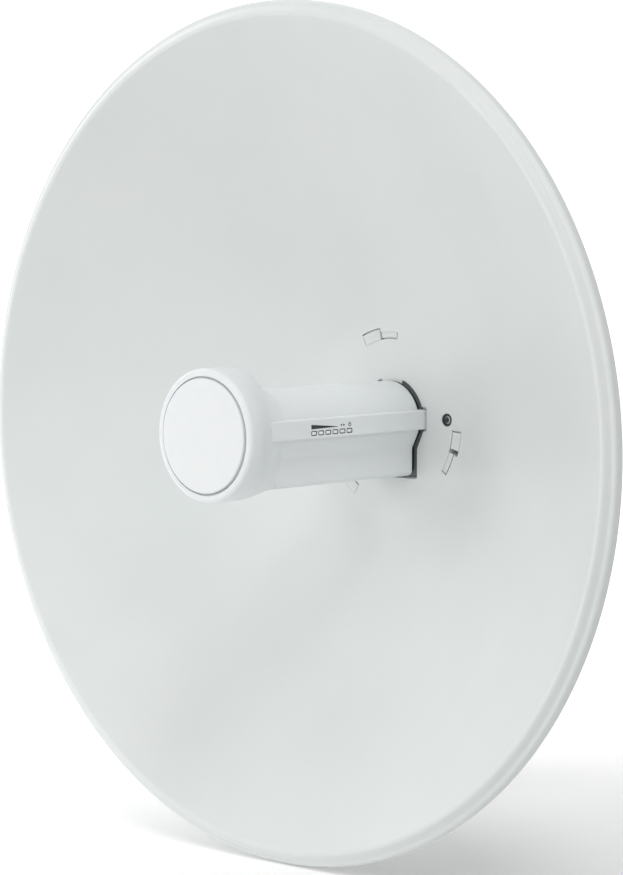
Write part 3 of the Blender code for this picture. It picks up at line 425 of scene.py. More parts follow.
# Polyester powder paint baked on steel: smooth and half gloss, with a faint orange peel. The real
# peel is under 1 mm across and is drawn at 2.5 mm so that it shows.
powder_paint = surface("powder_painted_steel", "#D8DCDB", 0.34, IOR=1.5)
spot = add(powder_paint, "TexCoord", {}).outputs["Object"]
peel = add(powder_paint, "TexNoise", {"Vector": spot, "Scale": 1 / 0.0025, "Detail": 2.0, "Roughness": 0.45})
cloud = add(powder_paint, "TexNoise", {"Vector": spot, "Scale": 1 / 0.09, "Detail": 3.0, "Roughness": 0.55})
add(powder_paint, "ValToRGB", {"Fac": cloud}, "Base Color",
    [(0.30, "#D6DBDA"), (0.70, "#DADDDC")])
add(powder_paint, "MapRange", {"Value": cloud, "To Min": 0.30, "To Max": 0.40}, "Roughness")
add(powder_paint, "Bump", {"Height": peel, "Strength": 0.05, "Distance": 0.0003}, "Normal")
dress(dish, powder_paint, "dish_paint", "dish_reflector")


# Feed tube
# Two moulded shells round the radio, closed with hidden clips: round on top with a box keel below,
# tapering a little towards the dish. Smooth white ASA with its joint under the side rails.
TUBE_NEAR_Y = -0.1970
TUBE_FAR_Y = -0.0820
NEAR_SIZES = (0.0252, 0.0187, 0.0335)    # arc's radius, keel's half width and depth, at the head
FAR_SIZES = (0.0247, 0.0189, 0.0330)     # and at the dish
KEEL_FILLET = 0.0030
KEEL_CORNER = -0.65                       # height of the keel's upper corners, in arc radii


def lerp(low, high, share):
    return low + (high - low) * share


def tube_outline(y):
    """The tube's outline about its axis at this place along it."""
    share = (y - TUBE_NEAR_Y) / (TUBE_FAR_Y - TUBE_NEAR_Y)
    arc, half, depth = (lerp(near, far, share) for near, far in zip(NEAR_SIZES, FAR_SIZES))
    low = math.radians(-14)
    edge = around(arc, math.pi / 2, low, 34, (0, 0))[1:]
    corner_z = KEEL_CORNER * arc
    fall = Vector((half, corner_z)) - Vector(edge[-1])
    edge += [tuple(Vector(edge[-1]) + fall * s) for s in (0.5, 0.86, 0.96)]
    edge += [(half, corner_z - 0.0010), (half, corner_z - 0.0030), (half, -depth + KEEL_FILLET + 0.004)]
    edge += around(KEEL_FILLET, 0, -math.pi / 2, 6, (half - KEEL_FILLET, -depth + KEEL_FILLET))
    edge += [(half * 0.5, -depth)]
    return [(0.0, arc)] + edge + [(0.0, -depth)] + [(-x, z) for x, z in reversed(edge)]


def rings(name, stations):
    """A closed skin: the first ring is a circle primitive set in place, the rest are extruded from it."""
    piece = outline(name, stations[0])
    bpy.ops.object.mode_set(mode="EDIT")
    bpy.ops.mesh.select_all(action="SELECT")
    bpy.ops.mesh.edge_face_add()
    bpy.ops.object.mode_set(mode="OBJECT")
    for before, after in zip(stations, stations[1:]):
        bpy.ops.object.mode_set(mode="EDIT")
        bpy.ops.mesh.extrude_region_move()
        skin = bmesh.from_edit_mesh(piece.data)
        picked = [v for v in skin.verts if v.select]
        spots = {tuple(round(c, 7) for c in v.co): v for v in picked}
        for old, new in zip(before, after):
            spots[tuple(round(c, 7) for c in Vector(old))].co = new
        bmesh.update_edit_mesh(piece.data)
        bpy.ops.object.mode_set(mode="OBJECT")
    bpy.ops.object.mode_set(mode="EDIT")
    return turned_out(piece)


stations = [TUBE_NEAR_Y - 0.003, -0.17, -0.14, -0.11, TUBE_FAR_Y]
tube = rings("feed_tube_shells", [[(x, y, z + FEED_Z) for x, z in tube_outline(y)] for y in stations])
smooth(tube, 0.0003, 2, 60)

# ASA, injection moulded in a polished tool: bright white and fairly glossy, with a very soft flow
# ripple, drawn 6 mm across, and no grain.
white_asa = surface("white_moulded_asa", "#E3E6E7", 0.30, IOR=1.49)
spot = add(white_asa, "TexCoord", {}).outputs["Object"]
flow = add(white_asa, "TexNoise", {"Vector": spot, "Scale": 1 / 0.006, "Detail": 2.0})
add(white_asa, "MapRange", {"Value": flow, "To Min": 0.27, "To Max": 0.34}, "Roughness")
add(white_asa, "ValToRGB", {"Fac": flow}, "Base Color", [(0.3, "#E2E5E7"), (0.7, "#E4E6E6")])
add(white_asa, "Bump", {"Height": flow, "Strength": 0.03, "Distance": 0.0003}, "Normal")
dress(tube, white_asa, "feed_plastic", "feed_upper_shell", "feed_lower_shell")


# Feed head
# The ASA moulding over the feed's antenna: a round ring in front, pressed in at the sides behind it,
# and closing like a hood on the tube. It is glued over the shells' front ends.
TIP_Y = -0.2425
RING_FRONT_Y = TIP_Y + 0.0012
RING_RADIUS = 0.0398
RING_ROUNDING = 0.0026
RECESS_RADIUS = 0.0352
RECESS_DEPTH = 0.0022
HEAD_POINTS = 96
HEAD_STAND = 0.00015          # head's rear end above the tube
# Along the head from its front: half width, half height above and below, and how far the outline has
# turned into the tube's above and below
HEAD_STATIONS = [
    (0.0065, 0.0398, 0.0399, 0.0399, 0, 0), (0.0090, 0.0395, 0.0399, 0.0399, 0, 0),
    (0.0120, 0.0386, 0.0398, 0.0399, 0, 0), (0.0155, 0.0366, 0.0397, 0.0399, 0, 0),
    (0.0190, 0.0342, 0.0396, 0.0399, 0, 0), (0.0220, 0.0320, 0.0394, 0.0399, 0, 0),
    (0.0250, 0.0302, 0.0390, 0.0398, 0, 0), (0.0275, 0.0291, 0.0386, 0.0397, 0, 0),
    (0.0290, 0.0286, 0.0383, 0.0396, 0, 0), (0.0298, 0.0283, 0.0378, 0.0396, 0.03, 0.01),
    (0.0310, 0.0281, 0.0383, 0.0396, 0.22, 0.07), (0.0335, 0.0279, 0.0383, 0.0396, 0.38, 0.13),
    (0.0375, 0.0277, 0.0383, 0.0396, 0.62, 0.32), (0.0400, 0.0274, 0.0383, 0.0396, 0.75, 0.50),
    (0.0425, 0.0270, 0.0383, 0.0396, 0.86, 0.78), (0.0445, 0.0265, 0.0383, 0.0396, 0.94, 0.92),
    (0.0462, 0.0260, 0.0383, 0.0396, 1.0, 1.0), (0.0475, 0.0260, 0.0383, 0.0396, 1.0, 1.0)]


def reach(outline_points, angle):
    """How far an outline about the axis reaches at this angle."""
    for (x0, z0), (x1, z1) in zip(outline_points, outline_points[1:] + outline_points[:1]):
        across = x0 * math.sin(angle) - z0 * math.cos(angle), x1 * math.sin(angle) - z1 * math.cos(angle)
        if across[0] * across[1] <= 0 and across[0] != across[1]:
            s = across[0] / (across[0] - across[1])
            x, z = lerp(x0, x1, s), lerp(z0, z1, s)
            if x * math.cos(angle) + z * math.sin(angle) > 0:
                return math.hypot(x, z)
    return 0.0


def head_ring(y, half, top, bottom, share_top, share_bottom, stand=0.0):
    """A ring of the head: an ellipse above and one below, part turned into the tube's outline."""
    tube_edge = tube_outline(max(y, TUBE_NEAR_Y))
    points = []
    for k in range(HEAD_POINTS):
        angle = 2 * math.pi * (k + 0.5) / HEAD_POINTS
        height = top if math.sin(angle) > 0 else bottom
        oval = 1 / math.hypot(math.cos(angle) / half, math.sin(angle) / height)
        share = lerp(share_bottom, share_top, (1 + math.sin(angle)) / 2)
        radius = lerp(oval, reach(tube_edge, angle) + stand, share)
        points.append((radius * math.cos(angle), y, FEED_Z + radius * math.sin(angle)))
    return points


bend = (RING_RADIUS - RING_ROUNDING, RING_FRONT_Y + RING_ROUNDING)
profile = around(RING_ROUNDING, -math.pi / 2, 0, 6, bend)
stations = [head_ring(y, r, r, r, 0, 0) for r, y in profile]
stations += [head_ring(TIP_Y + s[0], *s[1:], stand=HEAD_STAND) for s in HEAD_STATIONS]
head = rings("feed_head_visual", stations)
recess = [(0, TIP_Y - 0.01), (RECESS_RADIUS, TIP_Y - 0.01), (RECESS_RADIUS, RING_FRONT_Y + RECESS_DEPTH),
          (0, RING_FRONT_Y + RECESS_DEPTH)]
shape(head, lathe("recess_tool", recess, 96, (0, 0, FEED_Z)))
smooth(head, 0.0002, 2, 40)
dress(head, white_asa, "feed_plastic", "feed_head")


# Front disc
# A flat cap, moulded in the same ASA and pressed into the head's ring, a touch proud of it. Its face
# is bare.
DISC_RADIUS = 0.0340
DISC_ROUNDING = 0.0009
profile = [(0, TIP_Y), (DISC_RADIUS - 0.004, TIP_Y)]
profile += around(DISC_ROUNDING, -math.pi / 2, 0, 6, (DISC_RADIUS - DISC_ROUNDING, TIP_Y + DISC_ROUNDING))
profile += [(DISC_RADIUS, RING_FRONT_Y + RECESS_DEPTH), (0, RING_FRONT_Y + RECESS_DEPTH)]
disc = lathe("front_disc_visual", profile, 128, (0, 0, FEED_Z))
smooth(disc, 0, angle=50)
dress(disc, white_asa, "feed_plastic", "feed_front_disc")


# Side rails
# Two flat ASA strips clipped over the shells' joints, from inside the head to the dish's keyhole. The
# right one has six rounded windows for the signal lights.
RAIL_TOP, RAIL_BOTTOM = 0.0080, -0.0041
RAIL_STAND = 0.0032
RAIL_SINK = 0.0030
RAIL_EDGE = 0.0007
RAIL_START = TIP_Y + 0.0275
RAIL_END = CENTRE_Y + SHEET
LIGHT_PITCH = 0.0061
FIRST_LIGHT = TIP_Y + 0.0646
LIGHT_Z = FEED_Z - 0.0006
WINDOW = (0.0038, 0.0020)
WINDOW_ROUNDING = 0.0005


def rail_face(y):
    """How far a rail's outer face stands from the middle."""
    return lerp(NEAR_SIZES[0], FAR_SIZES[0], (y - TUBE_NEAR_Y) / (TUBE_FAR_Y - TUBE_NEAR_Y)) + RAIL_STAND


def rounded(centre, size, radius, steps=4):
    """A rounded rectangle's points about a centre."""
    points = []
    for sx, sz, start in ((1, 1, 0), (-1, 1, 90), (-1, -1, 180), (1, -1, 270)):
        corner = (centre[0] + sx * (size[0] / 2 - radius), centre[1] + sz * (size[1] / 2 - radius))
        points += around(radius, math.radians(start), math.radians(start + 90), steps, corner)
    return points


def crosswise(name, points, start, width):
    """A block pushed out along X from a (y, z) outline."""
    return prism(name, [(start, y, z) for y, z in points], (width, 0, 0))


light_places = [FIRST_LIGHT + LIGHT_PITCH * k for k in range(6)]
for side_sign, name in ((1, "light_rail"), (-1, "plain_rail")):
    ends = []
    for y in (RAIL_START, RAIL_END):
        outer, inner = rail_face(y), rail_face(y) - RAIL_STAND - RAIL_SINK
        section = [(inner, RAIL_BOTTOM), (outer - RAIL_EDGE, RAIL_BOTTOM), (outer, RAIL_BOTTOM + RAIL_EDGE),
                   (outer, RAIL_TOP - RAIL_EDGE), (outer - RAIL_EDGE, RAIL_TOP), (inner, RAIL_TOP)]
        ends.append([(side_sign * x, y, z + FEED_Z) for x, z in section])
    rail = rings(name + "_visual", ends)
    if side_sign > 0:
        for y in light_places:
            window = rounded((y, LIGHT_Z), WINDOW, WINDOW_ROUNDING)
            shape(rail, crosswise("window_tool", window, 0.02, 0.02))
    smooth(rail, 0.00018, 2, 30)
    dress(rail, white_asa, "feed_plastic", "feed_" + name)


# Signal light guide
# A comb moulded in clear acrylic and clipped behind the rail. Its six fingers fill the windows just
# under the rail's face, and look milky white because the lights are off.
FINGER_ROOT, FINGER_LENGTH = 0.0045, 0.0043    # root's depth under the rail's face
FINGER_PLAY = 0.0002
BAR_ROOT, BAR_THICKNESS = 0.0052, 0.0010
BAR_SIZE, BAR_ROUNDING = (0.0365, 0.0040), 0.0008
bar = rounded((sum(light_places) / 6, LIGHT_Z), BAR_SIZE, BAR_ROUNDING)
guide = crosswise("light_guide_visual", bar, rail_face(light_places[0]) - BAR_ROOT, BAR_THICKNESS)
for y in light_places:
    window = rounded((y, LIGHT_Z), (WINDOW[0] - FINGER_PLAY, WINDOW[1] - FINGER_PLAY), WINDOW_ROUNDING)
    shape(guide, crosswise("light_finger", window, rail_face(y) - FINGER_ROOT, FINGER_LENGTH), "UNION")
smooth(guide, 0.00012, 2, 30)
milky = surface("frosted_acrylic", "#F4F7F7", 0.22, IOR=1.49)
spot = add(milky, "TexCoord", {}).outputs["Object"]
haze = add(milky, "TexNoise", {"Vector": spot, "Scale": 1 / 0.0012, "Detail": 1.0})
add(milky, "ValToRGB", {"Fac": haze}, "Base Color", [(0, "#EDF2F2"), (1, "#FAFCFC")])
dress(guide, milky, "light_guide", "signal_light_guide")


# Printed marks on the light rail
# Pad printed in black ink, a few hundredths of a millimetre thick: a frame round each window, the
# signal strength wedge over the first four, and plain network and power signs over the last two.
INK = 0.00006
FRAME_OUTER = (0.0048, 0.0029)
FRAME_ROUNDING = 0.0008
black_ink = surface("black_pad_print", "#20282A", 0.45)
spot = add(black_ink, "TexCoord", {}).outputs["Object"]
film = add(black_ink, "TexNoise", {"Vector": spot, "Scale": 1 / 0.0008, "Detail": 2.0})
add(black_ink, "ValToRGB", {"Fac": film}, "Base Color", [(0, "#1B2224"), (1, "#2C3537")])


def printed(name, points, hole=None):
    """A thin film of ink on the rail's face, given as (y, z) points, with a hole where a window is."""
    mark = prism(name, [(rail_face(a) - INK, a, b) for a, b in points], (2 * INK, 0, 0))
    if hole:
        shape(mark, crosswise("hole_tool", hole, 0.02, 0.02))
    return mark


marks = []
for number, y in enumerate(light_places, 1):
    marks.append(printed(f"light_frame_{number}", rounded((y, LIGHT_Z), FRAME_OUTER, FRAME_ROUNDING),
                         rounded((y, LIGHT_Z), WINDOW, WINDOW_ROUNDING)))
WEDGE_Z = FEED_Z + 0.0019
wedge_start, wedge_end = FIRST_LIGHT - 0.0023, FIRST_LIGHT + 0.0203
wedge = [(wedge_start, WEDGE_Z), (wedge_end, WEDGE_Z + 0.0004), (wedge_end, WEDGE_Z + 0.0006),
         (wedge_start, WEDGE_Z + 0.0027)]
marks.append(printed("strength_wedge", wedge))
SIGN_Z = FEED_Z + 0.0031
network = light_places[4] + 0.0002
for number, way in enumerate((-1, 1), 1):
    foot = network + way * 0.0005
    arrow = [(foot, SIGN_Z + 0.0008), (foot, SIGN_Z - 0.0008), (foot + way * 0.0014, SIGN_Z)]
    marks.append(printed(f"network_sign_{number}", arrow[::way]))
power = light_places[5] + 0.0002
open_end, other_end = math.radians(60), math.radians(-240)
ring = around(0.0012, open_end, other_end, 20, (power, SIGN_Z))
ring += around(0.0008, other_end, open_end, 20, (power, SIGN_Z))
marks.append(printed("power_sign_ring", ring))
left, right = power - 0.0002, power + 0.0002
stroke = [(left, SIGN_Z), (right, SIGN_Z), (right, SIGN_Z + 0.0016), (left, SIGN_Z + 0.0016)]
marks.append(printed("power_sign_bar", stroke))
for mark in marks:
    smooth(mark, 0, angle=30)
    dress(mark, black_ink, "dark_plastic")


# Feed tail and gasket
# The dark end of the radio, which plugs into the housing, is moulded in glass filled nylon, and a ring
# of sponge rubber seals the gap round it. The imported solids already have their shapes.
nodes = frame["nodes"]
black_nylon = surface("glass_filled_nylon", "#2A2D2F", 0.5, IOR=1.53)
spot = add(black_nylon, "TexCoord", {}).outputs["Object"]
fibre = add(black_nylon, "TexNoise", {"Vector": spot, "Scale": 1 / 0.0007, "Detail": 3.0})
add(black_nylon, "ValToRGB", {"Fac": fibre}, "Base Color", [(0, "#24272A"), (1, "#34383A")])
add(black_nylon, "Bump", {"Height": fibre, "Strength": 0.2, "Distance": 0.0001}, "Normal")
nodes["feed_tail"].data.materials[0] = black_nylon

# Sponge EPDM: dull grey with open pores, 0.3 mm on the real one and drawn 0.7 mm
sponge_rubber = surface("sponge_epdm_rubber", "#6E7678", 0.9, IOR=1.5)
spot = add(sponge_rubber, "TexCoord", {}).outputs["Object"]
pores = add(sponge_rubber, "TexVoronoi", {"Vector": spot, "Scale": 1 / 0.0007})
add(sponge_rubber, "ValToRGB", {"Fac": pores}, "Base Color", [(0, "#60686A"), (1, "#7A8284")])
add(sponge_rubber, "Bump", {"Height": pores, "Strength": 0.5, "Distance": 0.0002}, "Normal")
nodes["feed_gasket"].data.materials[0] = sponge_rubber


# Lock screw and its bush
# A small zinc plated socket screw that stops the housing from turning back out of its slots. It sits
# in a black nylon bush pressed into the dish.
BUSH_RADIUS = 0.0038
BUSH_BORE = 0.0027
BUSH_LENGTH = 0.0027
SCREW_HEAD = 0.0025
SCREW_LENGTH = 0.0158
SOCKET = 0.0021
SOCKET_DEPTH = 0.0060
screw_y = bowl_y(math.hypot(*SCREW_AT))
axis = (SCREW_AT[0], 0, SCREW_AT[1])
ring = [(BUSH_BORE, screw_y), (BUSH_BORE + 0.0002, screw_y - 0.0003)]
ring += [(BUSH_RADIUS - 0.0005, screw_y - 0.0004), (BUSH_RADIUS - 0.0001, screw_y - 0.0002)]
ring += [(BUSH_RADIUS, screw_y + 0.0002), (BUSH_RADIUS, screw_y + BUSH_LENGTH)]
ring.append((BUSH_BORE, screw_y + BUSH_LENGTH))
bush = lathe("lock_screw_bush_visual", ring, 40, axis, closed=True)
smooth(bush, 0, angle=40)
dress(bush, black_nylon, "dark_plastic", "lock_screw_bush")
head_line = [(0, screw_y + 0.0002), (SCREW_HEAD - 0.0004, screw_y + 0.0002)]
head_line += [(SCREW_HEAD - 0.0001, screw_y + 0.0004), (SCREW_HEAD, screw_y + 0.0008)]
head_line += [(SCREW_HEAD, screw_y + SCREW_LENGTH), (0, screw_y + SCREW_LENGTH)]
screw = lathe("lock_screw_visual", head_line, 40, axis)
socket = around(SOCKET, 0, math.radians(300), 5, SCREW_AT)
punched(screw, socket, screw_y - 0.002, SOCKET_DEPTH + 0.002)
smooth(screw, 0, angle=40)

# Bright zinc plate on turned steel: silver with a faint blue, and fine turning lines drawn 0.4 mm apart
bright_zinc = surface("bright_zinc_plate", "#C9CFD3", 0.3, Metallic=1.0)
spot = add(bright_zinc, "TexCoord", {}).outputs["Object"]
streak = add(bright_zinc, "TexNoise", {"Vector": spot, "Scale": 1 / 0.0004, "Detail": 2.0})
add(bright_zinc, "MapRange", {"Value": streak, "To Min": 0.24, "To Max": 0.42}, "Roughness")
patch = add(bright_zinc, "TexNoise", {"Vector": spot, "Scale": 1 / 0.006, "Detail": 2.0})
add(bright_zinc, "ValToRGB", {"Fac": patch}, "Base Color",
    [(0.35, "#BFC7CE"), (0.65, "#D3D5D2")])
dress(screw, bright_zinc, "zinc_steel", "lock_screw")


# Rear housing
# An injection moulded ASA cup that holds the dish: three hooks on its face go through the slots and
# turn to lock. Its socket takes the feed's tail, and the tilt bracket is bolted to its back.
HOUSING_RADIUS = 0.0760
HOUSING_BACK_RADIUS = 0.0600
HOUSING_BACK_Y = -0.0400
HOUSING_SIDE = 0.0100
HOUSING_STEPS = 180
HOUSING_GAP = 0.0005
GROOVE, GROOVE_DEPTH = 0.0058, 0.0005    # a fine line round the side, behind the rim
FLUTES = 36
FLUTE_DEPTH = 0.0009
HOOK_CLEARANCE = 0.0005
HOOK_WINDOWS = [math.radians(a) for a in (0.8, 4.0, 3.0)]    # open beside the wide teeth
WINDOW_START, WINDOW_DEPTH, WINDOW_EDGE = CENTRE_Y + 0.0005, 0.018, 0.0002
WIDE_TOOTH_Y = CENTRE_Y - 0.0004        # stands out of its slot
NARROW_TOOTH_Y = CENTRE_Y + 0.0005      # lies in it
TOOTH_ROOT_Y = CENTRE_Y + 0.0075
TOOTH_PLAY = 0.00045                    # off the middle of its slot, across and up
TAIL_INSET, SOCKET_CLEARANCE, SOCKET_END = 0.0020, 0.0005, -0.0554
GASKET_SEAT, GASKET_BACK = 0.0034, -0.0766
BUSH_SEAT, BUSH_SEAT_DEPTH = 0.0042, 0.0235     # depths from 20 mm in front of the dish's centre
SCREW_BORE, SCREW_BORE_DEPTH = 0.0024, 0.0400
DOOR_HALF, DOOR_LOW, DOOR_HIGH, POCKET = 0.0170, -0.0580, -0.0400, 0.0200
GROMMET_RADIUS, CABLE_RADIUS = 0.0070, 0.0035
FIT = 0.0003                            # round the door and the grommet
FLANGE_BOLT_BORE, FLANGE_BOLT_DEPTH = 0.0033, 0.0120
FLANGE_BOLTS = [(-0.016, 0.028), (0.016, 0.028), (-0.016, -0.028), (0.016, -0.028)]
lip = [(r, bowl_y(r) + SHEET + HOUSING_GAP) for r in (FLAT_EDGE, FLAT_RADIUS, 0.0666, 0.0700, BLEND_END)]
rim_y = bowl_y(HOUSING_RADIUS) + SHEET
line = [(0, lip[0][1])] + lip + [(0.0752, rim_y + 0.0012), (HOUSING_RADIUS, rim_y + 0.0026)]
line += [(HOUSING_RADIUS, rim_y + GROOVE), (HOUSING_RADIUS - GROOVE_DEPTH, rim_y + GROOVE + 0.0003),
         (HOUSING_RADIUS - GROOVE_DEPTH, rim_y + GROOVE + 0.0010), (HOUSING_RADIUS, rim_y + GROOVE + 0.0013)]
side_y = rim_y + HOUSING_SIDE
for k in range(0, 11):
    turn = math.radians(8.7 * k)
    line.append((HOUSING_BACK_RADIUS + (HOUSING_RADIUS - HOUSING_BACK_RADIUS) * math.cos(turn),
                 side_y + (HOUSING_BACK_Y - side_y) * math.sin(turn)))
line += [(HOUSING_BACK_RADIUS - 0.0010, HOUSING_BACK_Y), (HOUSING_BACK_RADIUS - 0.0030, HOUSING_BACK_Y),
         (0, HOUSING_BACK_Y)]
housing = lathe("rear_housing_visual", line, HOUSING_STEPS)

# Flutes for the hand, pressed into the side and fading out at both ends
for vertex in housing.data.vertices:
    run = math.hypot(vertex.co.x, vertex.co.z)
    along_side = (vertex.co.y - side_y + 0.001) / (HOUSING_BACK_Y - side_y)
    if run > HOUSING_BACK_RADIUS - 0.0005 and 0 < along_side < 0.995:
        turn = math.atan2(vertex.co.z, vertex.co.x) * FLUTES / (2 * math.pi)
        dip = max(0.0, math.cos(2 * math.pi * turn)) * min(1.0, 6 * along_side, 12 * (1 - along_side))
        vertex.co.x -= vertex.co.x / run * FLUTE_DEPTH * dip
        vertex.co.z -= vertex.co.z / run * FLUTE_DEPTH * dip


def tail_hole(grow):
    """The feed tail's outline grown or shrunk, about the dish's axis."""
    arc, half, depth = (size - TAIL_INSET + grow for size in FAR_SIZES)
    edge = around(arc, math.pi / 2, -math.asin(0.62), 16, (0, 0))
    edge += [(half, KEEL_CORNER * arc - 0.002), (half, -depth)]
    return [(x, z + FEED_Z) for x, z in edge + [(-x, z) for x, z in reversed(edge[1:])]]


def bored(piece, radius, start, end, at, along=(0, 1, 0), steps=32):
    """Drills a round hole along an axis."""
    shape(piece, lathe("drill", [(radius, start), (radius, end)], steps, at, along))


front_y = CENTRE_Y - 0.02
punched(housing, tail_hole(SOCKET_CLEARANCE), front_y, SOCKET_END - front_y)
punched(housing, tail_hole(GASKET_SEAT), front_y, GASKET_BACK - front_y)
punched(housing, around(BUSH_SEAT, 0, math.radians(350), 35, SCREW_AT), front_y, BUSH_SEAT_DEPTH)
punched(housing, around(SCREW_BORE, 0, math.radians(345), 23, SCREW_AT), front_y, SCREW_BORE_DEPTH)
edge = HOOK_CLEARANCE / SLOT_INNER
for number in range(3):
    turned = -2 * math.pi * number / 3
    window_end = SLOT_STEP + HOOK_WINDOWS[number]
    for first, last, outer, face_y, play in (
            (window_end, SLOT_END - edge, SLOT_WIDE, WIDE_TOOTH_Y, TOOTH_PLAY),
            (SLOT_START + edge, SLOT_STEP, SLOT_NARROW, NARROW_TOOTH_Y, -TOOTH_PLAY)):
        tooth = around(SLOT_INNER + HOOK_CLEARANCE, first + turned, last + turned, 6)
        tooth += around(outer - HOOK_CLEARANCE, last + turned, first + turned, 6)
        punched(housing, [(x + play, z - play) for x, z in tooth], face_y, TOOTH_ROOT_Y - face_y, "UNION")
    window = around(SLOT_INNER + WINDOW_EDGE, SLOT_STEP + turned, window_end + turned, 4)
    window += around(SLOT_WIDE - WINDOW_EDGE, window_end + turned, SLOT_STEP + turned, 4)
    punched(housing, window, WINDOW_START, WINDOW_DEPTH)
door_box = [(0, (DOOR_LOW + DOOR_HIGH) / 2), (2 * (DOOR_HALF + FIT), DOOR_HIGH - DOOR_LOW + 2 * FIT)]
punched(housing, rounded(*door_box, 0.0012), HOUSING_BACK_Y - POCKET, POCKET + 0.01)
cable_y = HOUSING_BACK_Y - POCKET / 2
bored(housing, GROMMET_RADIUS + FIT, -0.10, DOOR_LOW + 0.004, (0, cable_y, 0), (0, 0, 1), 48)
for x, z in FLANGE_BOLTS:
    bored(housing, FLANGE_BOLT_BORE, HOUSING_BACK_Y - FLANGE_BOLT_DEPTH, HOUSING_BACK_Y + 0.01,
          (x, 0, z), steps=24)
smooth(housing, 0.0002, 2, 50)

# ASA with a spark eroded texture: a light grey white, matt, with a fine grain that is 0.15 mm on the
# real one and drawn 0.6 mm
grained_asa = surface("spark_textured_asa", "#D9DCDB", 0.6, IOR=1.5)
spot = add(grained_asa, "TexCoord", {}).outputs["Object"]
spark = add(grained_asa, "TexNoise", {"Vector": spot, "Scale": 1 / 0.0006, "Detail": 2.0})
age = add(grained_asa, "TexNoise", {"Vector": spot, "Scale": 1 / 0.03, "Detail": 3.0})
add(grained_asa, "ValToRGB", {"Fac": age}, "Base Color", [(0.3, "#D5D9D8"), (0.7, "#DCDEDC")])
add(grained_asa, "MapRange", {"Value": spark, "To Min": 0.52, "To Max": 0.68}, "Roughness")
add(grained_asa, "Bump", {"Height": spark, "Strength": 0.35, "Distance": 0.0001}, "Normal")
dress(housing, grained_asa, "housing_plastic", "rear_housing")


# Cable door and grommet
# A moulded ASA snap door in the housing's back over the cable's socket, with grip ridges, and a
# lipped sponge rubber grommet pushed in below it, where a cable would come in.
DOOR_THICKNESS = 0.0030
panel = rounded(door_box[0], (2 * DOOR_HALF, DOOR_HIGH - DOOR_LOW), 0.0011)
door = prism("cable_door_visual", flat_at(HOUSING_BACK_Y - DOOR_THICKNESS, panel), (0, DOOR_THICKNESS, 0))
for number in range(5):
    groove = rounded((0, DOOR_LOW + 0.0035 + 0.0022 * number), (0.018, 0.0010), 0.00045, 3)
    punched(door, groove, HOUSING_BACK_Y - 0.0006, 0.002)
smooth(door, 0.0002, 2, 40)
dress(door, grained_asa, "housing_plastic", "cable_door")
collar = [(CABLE_RADIUS, -0.0600), (GROMMET_RADIUS, -0.0600), (GROMMET_RADIUS, -0.0662)]
collar += [(GROMMET_RADIUS - 0.0009, -0.0667), (GROMMET_RADIUS - 0.0009, -0.0688), (GROMMET_RADIUS, -0.0693)]
collar += [(GROMMET_RADIUS, -0.0722), (GROMMET_RADIUS - 0.0008, -0.0730), (CABLE_RADIUS + 0.0008, -0.0730),
           (CABLE_RADIUS, -0.0722)]
grommet = lathe("cable_grommet_visual", collar, 48, (0, cable_y, 0), (0, 0, 1), closed=True)
smooth(grommet, 0, angle=40)
dress(grommet, sponge_rubber, "grey_rubber", "cable_grommet")


# Tilt bracket
# A U pressed from 3 mm steel plate and hot dip galvanised, bolted to the housing's back. Its ears
# have a hole for the pivot and a curved slot for the lock bolt.
PLATE = 0.0030
EAR_X = 0.0295
WEB_FRONT = -0.0397
EAR_BACK = -0.0120
WEB_HALF_HEIGHT, EAR_HALF_HEIGHT = 0.0420, 0.0340
BEND_OUTER, BEND_INNER = 0.0045, 0.0015
PIVOT = (-0.0205, 0.0160)
LOCK_RADIUS = 0.0300
LOCK_SPREAD = math.radians(36)
BOLT_HOLE, FLANGE_BOLT_HOLE = 0.0044, 0.0034
REACH = 0.05                  # more than half of any bracket's width or height
bend = (EAR_X - BEND_OUTER, WEB_FRONT + BEND_OUTER)
half_section = [(EAR_X, EAR_BACK)] + around(BEND_OUTER, 0, -math.pi / 2, 6, bend)
inner_section = around(BEND_INNER, -math.pi / 2, 0, 4, bend) + [(EAR_X - PLATE, EAR_BACK)]
section = both_sides(half_section) + [(-x, y) for x, y in reversed(inner_section)] + inner_section
bracket = prism("tilt_bracket_visual", [(x, y, -REACH) for x, y in section], (0, 0, 2 * REACH))
ear = [(WEB_FRONT - 0.002, WEB_HALF_HEIGHT + 0.002), (WEB_FRONT + PLATE + 0.0007, WEB_HALF_HEIGHT + 0.002)]
ear += around(0.002, math.pi, 1.5 * math.pi, 4, (WEB_FRONT + PLATE + 0.0027, EAR_HALF_HEIGHT + 0.002))
ear += around(0.008, math.pi / 2, 0, 6, (EAR_BACK - 0.008, EAR_HALF_HEIGHT - 0.008))
ear += [(y, -z) for y, z in reversed(ear)]
shape(bracket, crosswise("side_cut", ear, -REACH, 2 * REACH), "INTERSECT")
web = rounded((0, 0), (2 * EAR_X, 2 * WEB_HALF_HEIGHT), 0.004)
punched(bracket, web, WEB_FRONT - 0.01, 0.05, "INTERSECT")


def cross_hole(piece, place):
    """A bolt hole along X through everything at this (y, z)."""
    bored(piece, BOLT_HOLE, -REACH, REACH, (0, *place), (1, 0, 0))


